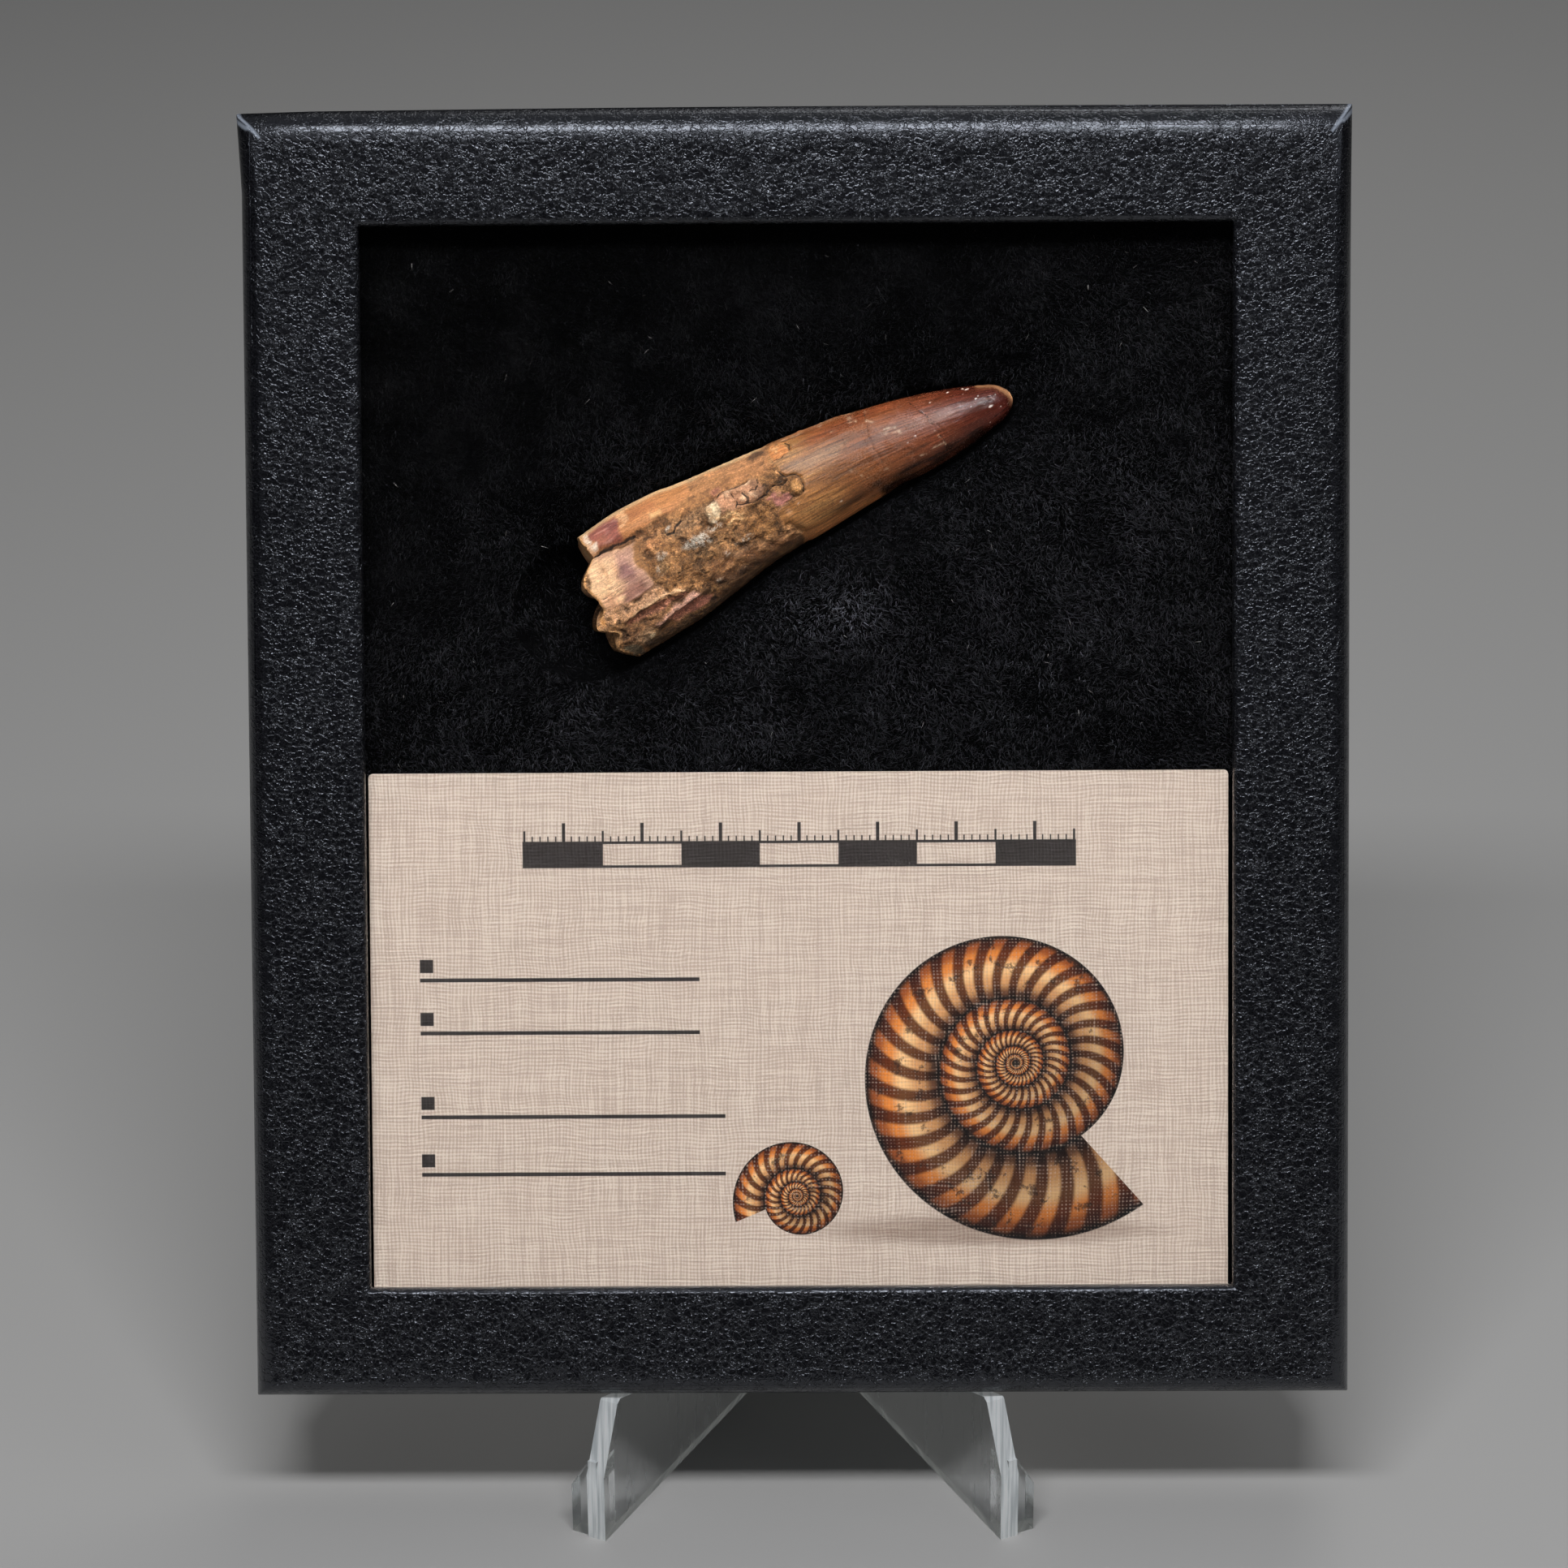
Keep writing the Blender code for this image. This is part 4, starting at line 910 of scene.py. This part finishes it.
lay("#9A6E40", low_flank * rough * fade(2.2 * rumple(plain, 0.9, 3, seed=23) - 0.3), 0.7)
lay("#2E1C0E", low_flank * rough * fade(2.2 * rumple(plain, 1.2, 3, seed=24) - 0.2), 0.65)
lay("#9E7360", patch([(-0.6, 6.0), (2.8, 5.9), (3.0, 5.2), (0.4, 5.2)], 0.2), 0.6)
lay("#4A3018", front * area(24.0, -1.2, 0.8, 1.6), 0.7)

cream = cream * fade((6.2 + 1.2 * broad - u) / 0.7 + 0.5)
lay("#E2B284", cream, 0.95)
lay("#C58A5A", cream * fade(1.2 * rumple(plain * np.array([1.0, 0.3, 1.0]), 0.7, 2, seed=16) - 0.1), 0.55)
lay("#A87A66", cream * inside([(2.9, 3.2), (3.6, 5.2), (0.8, 5.9), (1.0, 5.1), (3.0, 4.7), (7.0, 5.4),
                               (7.0, -1.8), (1.8, -1.8), (2.6, 0.4)], 0.9), 0.85)
lay("#7A4C4A", cream * area(4.1, 2.2, 1.1, 1.8), 0.75)
lay("#7C4C3E", cream * inside([(1.8, 0.1), (5.2, 0.5), (5.4, -1.3), (1.8, -1.3)], 0.5), 0.7)
lay("#C48C68", cream * fade((0.6 - wv) / 0.6) * fade((2.2 - wu) / 0.8), 0.6)
lay("#E6BC88", cream * fade((2.9 - wu) / 1.2) * fade(1.5 * fibre - 0.2), 0.6)
lay("#C79A80", cream * fade((wu - 2.9) / 1.2) * fade(1.5 * fibre - 0.35), 0.4)
lay("#6F4636", cream * fade(1.4 * fine - 0.8), 0.75)
lay("#7F5D3F", patch([(-3.6, 1.0), (-3.4, 3.4), (-2.0, 5.2), (-0.4, 5.4), (-0.9, 4.4), (-1.2, 3.0),
                      (-1.3, 1.2), (-2.2, 0.6)], 0.15), 0.85)
# Painted rim light: the front edge along the broken end is laid orange above and pale cream below, as if lit.
lay("#D8975A", front * fade((end + 0.5 - u) / 0.35) * fade((v - 0.5) / 0.5) * fade((5 - v) / 0.5), 0.8)
lay("#B8792C", front * blob(wu, wv, -1.9, -1.7, 0.7, 1.2), 0.9)
lay("#D6A680", front * fade((end + 0.4 - u) / 0.3) * fade((-1.8 - v) / 0.6) * fade((v + 4.8) / 0.6), 0.8)
lay("#4A2E18", patch([(-2.9, -3.6), (-1.0, -4.6), (0.4, -5.2), (-0.6, -5.9), (-2.8, -5.2)], 0.3), 0.7)

lay("#B87A48", strip, 0.95)
lay("#BC7E4C", strip * fade(1.4 * wide_streak - 0.2), 0.6)
lay("#B0733F", strip * area(13.0, 8.0, 2.5, 1.5), 0.7)
lay("#DCAC72", strip * inside([(9.6, 7.3), (11.2, 7.2), (11.0, 6.5), (9.6, 6.5)], 0.25), 0.8)
lay("#96552F", strip * inside([(6.8, 8.7), (10.2, 8.8), (10.8, 8.0), (7.0, 7.2)], 0.35), 0.5)
lay("#84443C", strip * inside([(1.5, 8.6), (5.4, 8.9), (5.3, 7.9), (5.2, 6.2), (1.9, 6.2), (1.7, 7.2),
                               (1.3, 7.7)], 0.32) * fade(1.15 + 0.5 * broad), 0.88)
lay("#753E38", strip * inside([(3.4, 8.5), (5.3, 8.8), (5.3, 7.6), (3.6, 7.6)], 0.4), 0.7)
lay("#C08A78", strip * inside([(1.5, 8.6), (5.4, 8.9), (5.3, 6.2), (1.9, 6.2)], 0.3)
    * fade(1.8 * fibre - 0.45), 0.7)
lay("#DCA878", strip * inside([(5.6, 8.9), (6.7, 8.9), (6.9, 7.9), (6.3, 7.2), (5.3, 7.3), (5.5, 8.0)], 0.15)
    * fade(0.7 + 1.3 * fine), 0.9)
lay("#DCC6AE", strip * inside([(0.4, 8.4), (1.4, 8.3), (1.3, 7.6), (1.9, 7.0), (1.8, 6.3), (0.3, 6.2),
                               (0.6, 7.2)], 0.15) * fade(0.9 + fine), 0.9)
lay("#96694A", strip * fade((0.4 - wu) / 0.3), 0.7)
# Painted highlight: the root's top-facing edge is laid a light cream, standing in for the light grazing it.
painted_top_rim_light = fade((0.42 - np.minimum(turn, 2 * math.pi - turn)) / 0.2)
lay("#E0B888", painted_top_rim_light * fade((27 - u) / 3) * (1 - enamel), 0.75)

lay("#EFD3AA", chunk * fade(1.1 + 0.9 * fine), 0.9)
lay("#B98E62", chunk * fade(1.6 * fine + 0.1), 0.75)
lay("#C48E6A", crust, 0.8)
lay("#E2BC94", crust * fade(1.2 * rumple(plain, 0.8, 2, seed=12) - 0.05), 0.7)
lay("#7A583E", crust * fade((wu - 22.3) / 0.8), 0.6)
lay("#E0B078", folds, 0.8)
lay("#7A5038", ledge_shade * (1 - strip), 0.35)
lay("#B8785C", patch([(0.8, -3.6), (2.2, -3.5), (5.0, -3.2), (9.6, -3.45), (9.3, -3.95), (7.0, -4.2),
                      (4.5, -4.4), (1.0, -4.2)], 0.2), 0.8)
lay("#E2B486", front * beside(wu, wv, [(1.6, -3.45), (3.0, -3.05), (5.0, -2.8), (7.0, -2.7), (8.5, -2.85),
                                       (9.8, -3.25)], 0.15), 0.85)
lay("#D39E84", front * beside(wu, wv, [(4.5, -5.8), (6.0, -5.25), (8.3, -4.75), (9.9, -4.4), (10.9, -4.6)],
                              0.26), 0.9)
# Painted highlight on the lower ridge.
lay("#DCA68C", front * blob(wu, wv, 9.8, -4.5, 1.2, 0.45), 0.8)
channel = patch([(6.0, -5.5), (8.5, -5.15), (11.0, -5.0), (12.2, -5.6), (11.0, -6.3), (6.6, -6.5)], 0.25)
lay("#C87E64", channel, 0.85)
lay("#C48A6E", channel * fade(1.8 * wide_streak - 0.7), 0.6)
lay("#6E5E46", patch([(-1.7, -6.6), (0.3, -6.5), (1.3, -7.2), (1.2, -7.9), (0.3, -8.6), (-0.9, -7.9)],
                     0.15), 0.9)
lay("#DDBE94", front * blob(wu, wv, 3.1, -6.8, 0.45, 0.3), 0.8)

ENAMEL_TONES = ((25, "#9C6838"), (30, "#9A6636"), (35, "#84502A"), (40, "#804A2A"), (46, "#733C24"),
                (51, "#522416"), (57, "#421710"))
places, codes = zip(*ENAMEL_TONES)
enamel_tones = np.stack([np.interp(u, places, row) for row in list(zip(*map(linear, codes)))[:3]], axis=1)
tint = tint * (1 - enamel[:, None]) + enamel_tones * enamel[:, None]
lay("#B08450", enamel * fade((36 - u) / 8) * fade(1.3 * wide_streak), 0.5)
lay("#3A1D0C", enamel * fade(-1.3 * wide_streak - 0.2), 0.55)
lay("#7A3C20", enamel * front * fade((wv - 5.0) / 1.2) * fade((u - 29) / 4), 0.65)
# Pale weathered enamel at the crown's base, and on it a painted highlight along the upper flank where the
# lamp's reflection runs.
lay("#9A7A5C", enamel * patch([(27.0, 5.3), (29.5, 5.0), (33.0, 4.9), (36.5, 4.4), (34.0, 3.2),
                               (28.8, 3.5)], 0.5), 0.5)
# Painted highlight carrying the same band on towards the tip.
lay("#8C6A58", enamel * patch([(39.8, 4.6), (43.0, 3.6), (50.0, 2.2), (50.0, 1.2), (43.0, 2.2),
                               (40.2, 3.0)], 0.5), 0.3)
# Painted shade: a near-black band along the crown's lower flank, which is turned from the light, and a darker
# patch below the notch near its middle.
lay("#1E0D06", enamel * beside(wu, wv, [(25.5, -2.6), (30.0, -2.8), (36.0, -2.8), (44.0, -2.5),
                                        (52.0, -2.0)], 1.0) * fade(0.7 + 0.8 * wide_streak)
    * fade((u - 27.0) / 8.0), 0.9)
lay("#140A05", enamel * front * fade((np.abs(wu - 40.0) - 4.0) / -2.0) * fade((-1.6 - wv) / 1.0), 0.4)
lay("#E8965A", enamel * beside(wu, wv, [(26.5, -4.6), (31.0, -4.3), (36.5, -3.8)], 0.75), 0.95)
PALE_MARKS = [([(28.6, 8.0), (31.5, 7.9), (34.0, 7.8), (36.6, 7.6), (38.6, 7.2)], 0.13),
              ([(33.2, 7.4), (34.4, 7.5)], 0.12),
              ([(35.0, 6.3), (36.0, 6.3)], 0.08),
              ([(37.8, 6.9), (38.3, 6.2), (38.8, 5.4)], 0.24),
              ([(37.6, 6.2), (38.6, 6.1)], 0.12),
              ([(39.9, 7.0), (40.1, 6.5), (40.8, 6.8)], 0.11),
              ([(39.5, 5.6), (40.3, 5.0)], 0.12),
              ([(41.0, 2.9), (42.0, 2.6), (42.8, 2.4)], 0.26),
              ([(41.3, 3.5), (42.6, 3.1)], 0.16),
              ([(35.0, 1.0), (35.6, 0.3)], 0.17),
              ([(36.0, -0.4), (36.8, -0.9)], 0.1),
              ([(38.4, -0.8), (39.5, -1.0)], 0.13),
              ([(45.6, -1.2), (47.4, -1.3)], 0.1),
              ([(43.9, -1.4), (44.7, -1.5)], 0.08),
              ([(50.8, -2.8), (51.8, -2.7)], 0.08),
              ([(46.9, 0.6), (47.4, -1.6)], 0.06)]
for line, width in PALE_MARKS:
    lay("#C4A688", enamel * front * beside(jitter_u, jitter_v, line, width) * fade(0.35 + 1.1 * fine), 0.75)
SPECKS = [(50.5, 4.1), (52.5, 3.6), (53.0, 3.35), (52.2, 3.0), (53.7, 2.0), (53.4, 1.85), (52.4, 1.2),
          (55.8, 1.3), (54.7, 0.2), (55.8, -0.5), (56.7, -0.4), (44.3, 1.1), (43.2, 0.8), (53.7, -1.4),
          (50.6, 4.2), (48.0, 4.0), (32.3, -2.0), (27.2, 0.2)]
speck = np.zeros(len(u))
for number, (u0, v0) in enumerate(SPECKS):
    away = np.hypot((jitter_u - u0) * (0.7 + 0.3 * (number % 2)), jitter_v - v0)
    speck = np.maximum(speck, front * fade((0.07 + 0.04 * (number % 3) + 0.08 * fine - away) / 0.1))
lay("#DDD2C6", speck, 0.85)
worn_tip = front * beside(jitter_u, jitter_v, [(54.6, 3.3), (56.2, 2.7), (57.2, 1.5), (57.8, 0.2),
                                               (57.6, -0.9)], 0.42)
worn_tip = np.maximum(worn_tip, fade((u - 57.25) / 0.3) * fade((v + 0.9) / 0.5))
lay("#D49A68", worn_tip, 0.95)
# Painted highlight: the same top edge laid lighter on the crown's base.
lay("#B87A50", enamel * painted_top_rim_light * fade((40 - u) / 3), 0.5)
lay("#C07A44", flake, 0.9)
lay("#DCA870", flake * fade(1.3 * fine - 0.1), 0.6)
lay("#A86A5E", pink * fade(1.0 + 0.9 * fine), 0.85)
lay("#D8A090", pink * fade(1.6 * wide_streak - 0.2), 0.7)
lay("#BE8A52", knob, 0.85)
lay("#94622F", knob * fade(1.5 * fine + 0.2), 0.7)
lay("#2B1A10", patch([(23.8, 7.9), (25.0, 8.3), (26.4, 8.1), (26.0, 7.5), (24.5, 7.55)], 0.25), 0.75)
# Painted rim light: a light band along the whole broken end.
lay("#E0A468", front * fade((end + 0.5 - u) / 0.3) * fade(0.9 + fine) * (1 - inward), 0.75)
lay("#5E4028", inward, 0.9)
# Painted rim light all round the broken end, on the back wall and the lip of the hollow too.
lay("#C08C58", fade((end + 0.55 - u) / 0.4) * fade((0.35 - inward) / 0.2) * fade(0.8 + fine), 0.6)
rough = rough * (1 - np.clip(0.5 * chunk + 0.5 * flake + 0.5 * pink + 0.45 * knob + 0.4 * crust, 0, 1))
crown = enamel * (1 - worn_tip) * (1 - flake) * (1 - knob) * (1 - pink)
polish = crown * (1 - 0.6 * speck) * np.clip(0.72 + (u - 26) / 50, 0, 1.15) * (1 - 0.15 * fade(1.2 * broad))
polish = np.clip(polish + 0.3 * cream + 0.25 * strip + 0.3 * smooth_brown, 0, 1.15) * (1 - inward)
keep_values(tooth, "stone_colour", np.clip(tint, 0, 1))
for name, values in (("crown", crown), ("polish", polish), ("grit", rough), ("chalk", chalk),
                     ("off_crack", off_crack), ("length_place", plain[:, 0]), ("girth_place", turn * 6.0)):
    keep_values(tooth, name, values)

# Close to, the enamel has fine lines along it and a net of hair cracks, and the matrix is sand grains.
finish, tree, shader = new_finish("fossil_enamel_dentine_and_matrix")
plane = box_plane(tree)
crown, polish, grit, chalk, off_crack, length_place = (stored(tree, name) for name in (
    "crown", "polish", "grit", "chalk", "off_crack", "length_place"))
skin = add_node(tree, "ShaderNodeCombineXYZ", {"X": length_place, "Y": stored(tree, "girth_place")})
combed = add_node(tree, "ShaderNodeMapping", {"Vector": skin, "Scale": (0.05, 1.0, 1.0)})
lines = noise(tree, combed, 4.5, 5, 0.72)
specks = noise(tree, plane, 4.0, 5, 0.75)
net = add_node(tree, "ShaderNodeTexVoronoi", {"Vector": skin, "Scale": 2.7, "Randomness": 0.75},
               feature="DISTANCE_TO_EDGE")
net = mix(tree, step(tree, length_place, 34.0, 52.0, 0.0, 0.75), step(tree, net, 0.0, 0.09, 0.62),
          (1, 1, 1, 1))
crown_tone = times(tree, step(tree, lines, 0.33, 0.67, 0.5, 1.5), net)
crown_tone = times(tree, crown_tone, step(tree, specks, 0.3, 0.7, 0.8, 1.25))
dentine_tone = times(tree, step(tree, lines, 0.36, 0.64, 0.74, 1.24),
                     step(tree, specks, 0.33, 0.67, 0.68, 1.3))
sand = add_node(tree, "ShaderNodeTexVoronoi", {"Vector": plane, "Scale": 4.6, "Randomness": 1.0})
dust = add_node(tree, "ShaderNodeTexVoronoi", {"Vector": plane, "Scale": 9.5, "Randomness": 1.0})
sand_number = add_node(tree, "ShaderNodeSeparateXYZ", {"Vector": sand.outputs["Color"]}).outputs["X"]
dust_number = add_node(tree, "ShaderNodeSeparateXYZ", {"Vector": dust.outputs["Color"]}).outputs["Y"]
clods = noise(tree, plane, 1.1, 6, 0.7)
grain_tone = calc(tree, "MULTIPLY_ADD", times(tree, sand_number, sand_number), 0.7, 0.72)
grain_tone = times(tree, grain_tone, step(tree, dust_number, 0.0, 1.0, 0.82, 1.2))
grain_tone = times(tree, grain_tone, step(tree, specks, 0.33, 0.67, 0.65, 1.35))
grain_tone = times(tree, grain_tone, step(tree, clods, 0.36, 0.64, 0.6, 1.45))
tone = mix(tree, times(tree, grit, 0.85), mix(tree, crown, dentine_tone, crown_tone), grain_tone)
colour = mix(tree, 1.0, stored(tree, "stone_colour", "Color"), tone, "MULTIPLY")
chalky = times(tree, chalk, step(tree, clods, 0.44, 0.54))
colour = mix(tree, chalky, colour, mix(tree, dust_number, linear("#94806A"), linear("#E4D8C4")))
gap = calc(tree, "MULTIPLY_ADD", specks, -1.6, calc(tree, "ADD", off_crack, 0.8))
colour = mix(tree, step(tree, gap, 0.55, 1.25, 0.9, 0.0), colour, linear("#120A06"))
fine_lines = times(tree, crown, step(tree, length_place, 42.0, 54.0, 0.85, 0.16))
height = times(tree, lines, fine_lines)
height = calc(tree, "MULTIPLY_ADD", specks, calc(tree, "MULTIPLY_ADD", grit, 1.2, 0.22), height)
height = calc(tree, "SUBTRACT", height, times(tree, sand.outputs["Distance"], times(tree, grit, 1.3)))
height = calc(tree, "SUBTRACT", height, times(tree, dust.outputs["Distance"], times(tree, grit, 0.5)))
dull = add_node(tree, "ShaderNodeMapRange", {"Value": polish, "To Min": 0.85, "To Max": 0.24})
dull = calc(tree, "MULTIPLY_ADD", calc(tree, "SUBTRACT", specks, 0.5), 0.3, dull)
feed(tree, shader, {"Base Color": colour, "Roughness": dull, "Normal": raised(tree, height, 0.0001)})
tooth.data.materials.append(finish)
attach(tooth, "root")
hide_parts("tooth")


# The padding. Soft wadding covered in black plush, pressed down by the card and sunk under the tooth.
# The cover is one closed piece; its pile is made as thin pointed fibres on the part that shows.

PAD_HALF, PAD_LOW, PAD_HIGH, PAD_BACK = 65.9, 4.1, 159.9, 17.9
PLUSH_BASE, CARD_TOP = 4.65, 79.9
SUNK, BOWL_MARGIN, DIP_REACH, PAD_LEAST = 0.4, 0.9, 5.5, 1.0
PILE_LOW, PILE_HIGH, PILE_EDGE = CARD_TOP - 0.6, 151.5, 56.5
FIBRE_LENGTH, FIBRE_WIDTH, LIT_WIDTH = (0.85, 1.5), (0.026, 0.042), 0.022
FIBRE_TONE, LIT_SHARE, LIT_TONE, LINT_SHARE = 0.0026, 0.42, 6.5, 0.0006
BEHIND_PANE = 3.0


def seen_from_tooth(x, z):
    """Places on the box as the tooth has them: along it and across it."""
    dx, dz = x - TOOTH_PLACE[0], z - TOOTH_PLACE[1]
    return (dx * math.cos(TOOTH_ANGLE) + dz * math.sin(TOOTH_ANGLE),
            dz * math.cos(TOOTH_ANGLE) - dx * math.sin(TOOTH_ANGLE))


def plush_depth(x, z):
    """Depth of the cover's front: a little uneven, dipping to the tooth, with its bowl beneath."""
    u, v = seen_from_tooth(x, z)
    nearest = np.clip(u, -3.0, TOOTH_LENGTH)
    middle, half, flatness = tooth_section(np.maximum(nearest, 0.0))
    beyond = np.hypot(u - nearest, np.maximum(np.abs(v - middle) - half, 0.0))
    level = TOOTH_ROOT_DEPTH - TOOTH_RISE * nearest - SUNK
    over = 1 - (np.hypot(u - nearest, v - middle) / (half + BOWL_MARGIN)) ** 2
    bowl = (half * flatness + BOWL_MARGIN) * np.sqrt(np.maximum(over, 0.0))
    place = np.stack([x, z, np.zeros(len(x))], axis=1)
    waves = 0.45 * rumple(place, 24.0, 2, seed=21) + 0.12 * rumple(place, 7.0, 2, seed=22)
    base = PLUSH_BASE + np.abs(waves)
    dip = base + (level - base) / (1 + (beyond / DIP_REACH) ** 2)
    return np.minimum(dip + bowl, PAD_BACK - PAD_LEAST)


plush = start_piece("plush_covered_pad", "primitive_grid_add", x_subdivisions=188, y_subdivisions=222, size=2)
bpy.ops.mesh.select_all(action="SELECT")
bpy.ops.mesh.extrude_region_move(TRANSFORM_OT_translate={"value": (0, 0, -1)})
bpy.ops.object.mode_set(mode="OBJECT")
points = read_points(plush.data)
low_side = points[:, 2] < -0.5
x = points[:, 0] * PAD_HALF
z = PAD_LOW + (points[:, 1] + 1) / 2 * (PAD_HIGH - PAD_LOW)
y = np.where(low_side, PAD_BACK, plush_depth(x, z))
write_points(plush.data, np.stack([x, y, z], axis=1))
bpy.ops.object.mode_set(mode="EDIT")
pick(plush, "VERT", lambda place: place.y > PAD_BACK - 0.01
     and abs(place.x) < PAD_HALF - 0.01 and PAD_LOW + 0.01 < place.z < PAD_HIGH - 0.01)
bpy.ops.mesh.delete(type="VERT")
pick(plush, "EDGE", lambda middle, edge: edge.is_boundary)
bpy.ops.mesh.edge_face_add()
bpy.ops.mesh.select_all(action="SELECT")
bpy.ops.mesh.normals_make_consistent(inside=False)
bpy.ops.object.mode_set(mode="OBJECT")
plush.data.transform(box_place)
bpy.ops.object.shade_smooth_by_angle(angle=math.radians(50))
finish, tree, shader = new_finish("black_plush_ground")
place = add_node(tree, "ShaderNodeTexCoord").outputs["Object"]
nap = noise(tree, place, 2200, 3)
feed(tree, shader, {"Base Color": ramp(tree, nap, (0.3, "#010101"), (0.7, "#060607")), "Roughness": 0.9,
                    "Normal": raised(tree, nap, 0.0002), "Specular IOR Level": 0.03})
plush.data.materials.append(finish)
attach(plush, "root")
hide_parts("pad")

finish, tree, shader = new_finish("black_plush_pile")
feed(tree, shader, {"Base Color": stored(tree, "fibre_shade", "Color"), "Roughness": 0.55,
                    "Specular IOR Level": 0.06})


def build_pile(name, left, right, count, seed):
    """Thin three-sided fibres on the cover between two places across the box."""
    draw = np.random.default_rng(seed)
    x = draw.uniform(left, right, count)
    z = draw.uniform(PILE_LOW, PILE_HIGH, count)
    u, v = seen_from_tooth(x, z)
    middle, half, flatness = tooth_section(np.clip(u, 0.0, TOOTH_LENGTH))
    past_ends = np.maximum(np.maximum(-2.4 - u, u - TOOTH_LENGTH + 0.6), 0.0)
    reach = np.hypot(past_ends, np.maximum(np.abs(v - middle) - half + 0.5, 0.0))
    kept = reach > 0.05
    x, z, v, middle, reach = x[kept], z[kept], v[kept], middle[kept], reach[kept]
    count = len(x)
    root = np.stack([x, plush_depth(x, z) + 0.1, z], axis=1)
    place = np.stack([x, z, np.zeros(count)], axis=1)
    swirl = 1.9 * rumple(place, 9.0, 2, seed=31) + 1.5 * rumple(place, 1.6, 2, seed=32) - 1.2
    swirl += draw.normal(0, 0.7, count)
    lean = np.clip(0.75 + 0.35 * rumple(place, 5.0, 2, seed=33) + draw.normal(0, 0.22, count), 0.1, 1.35)
    length = draw.uniform(*FIBRE_LENGTH, count)
    aim = np.stack([np.sin(lean) * np.cos(swirl), -np.cos(lean), np.sin(lean) * np.sin(swirl)], axis=1)
    tip = root + aim * length[:, None]
    tip[:, 1] = np.maximum(tip[:, 1], BEHIND_PANE)
    side = np.cross(aim, np.array([0.3, 1.0, 0.2]))
    side /= np.linalg.norm(side, axis=1)[:, None]
    other = np.cross(aim, side)
    lit = draw.random(count) < LIT_SHARE
    thick = (draw.uniform(*FIBRE_WIDTH, count) + LIT_WIDTH * lit)[:, None]
    corners = [root + thick * (math.cos(a) * side + math.sin(a) * other) for a in (0.0, 2.094, 4.189)]
    points = np.stack([*corners, tip], axis=1).reshape(-1, 3)
    first = 4 * np.arange(count)[:, None, None]
    faces = (first + np.array([[0, 1, 3], [1, 2, 3], [2, 0, 3], [0, 2, 1]])[None]).reshape(-1, 3)
    clear_selection()
    mesh = bpy.data.meshes.new(name)
    mesh.from_pydata(points.tolist(), [], faces.tolist())
    pile = bpy.data.objects.new(name, mesh)
    bpy.context.collection.objects.link(pile)
    tone = FIBRE_TONE * np.clip(draw.lognormal(0.0, 0.55, count), 0.1, 6.0) * np.where(lit, LIT_TONE, 1.0)
    # Painted shade: the fibres are darker above the tooth and towards the top of the box, where less light
    # reaches the pile.
    tone *= np.interp(v, (-12.0, -2.0, 8.0, 26.0), (1.15, 1.0, 0.7, 0.25))
    tone *= np.interp(z, (118.0, 150.0), (1.0, 0.6))
    tone *= 1 + 3.4 * np.exp(-(((x - 4.9) / 5.6) ** 2 + ((z - 100.6) / 3.4) ** 2))
    tone *= np.clip(1 + 0.22 * rumple(place, 11.0, 2, seed=35), 0.4, 2.0)
    # Painted shadow: the fibres just below the tooth are darkened as its cast shadow.
    tone *= 1 - 0.8 * np.exp(-(reach / 3.0) ** 2) * (v < middle)
    shade = np.stack([tone, tone, tone * 1.14], axis=1)
    lint = draw.random(count) < LINT_SHARE
    shade[lint] = (0.32, 0.30, 0.28)
    keep_values(pile, "fibre_shade", np.repeat(shade, 4, axis=0))
    mesh.transform(box_place)
    mesh.materials.append(finish)
    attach(pile, "root")


PILE_COUNT = 45000
for number, start in enumerate((-1.0, -0.5, 0.0, 0.5)):
    build_pile("plush_pile_%d" % (number + 1), start * PILE_EDGE, (start + 0.5) * PILE_EDGE, PILE_COUNT,
               5 + number)
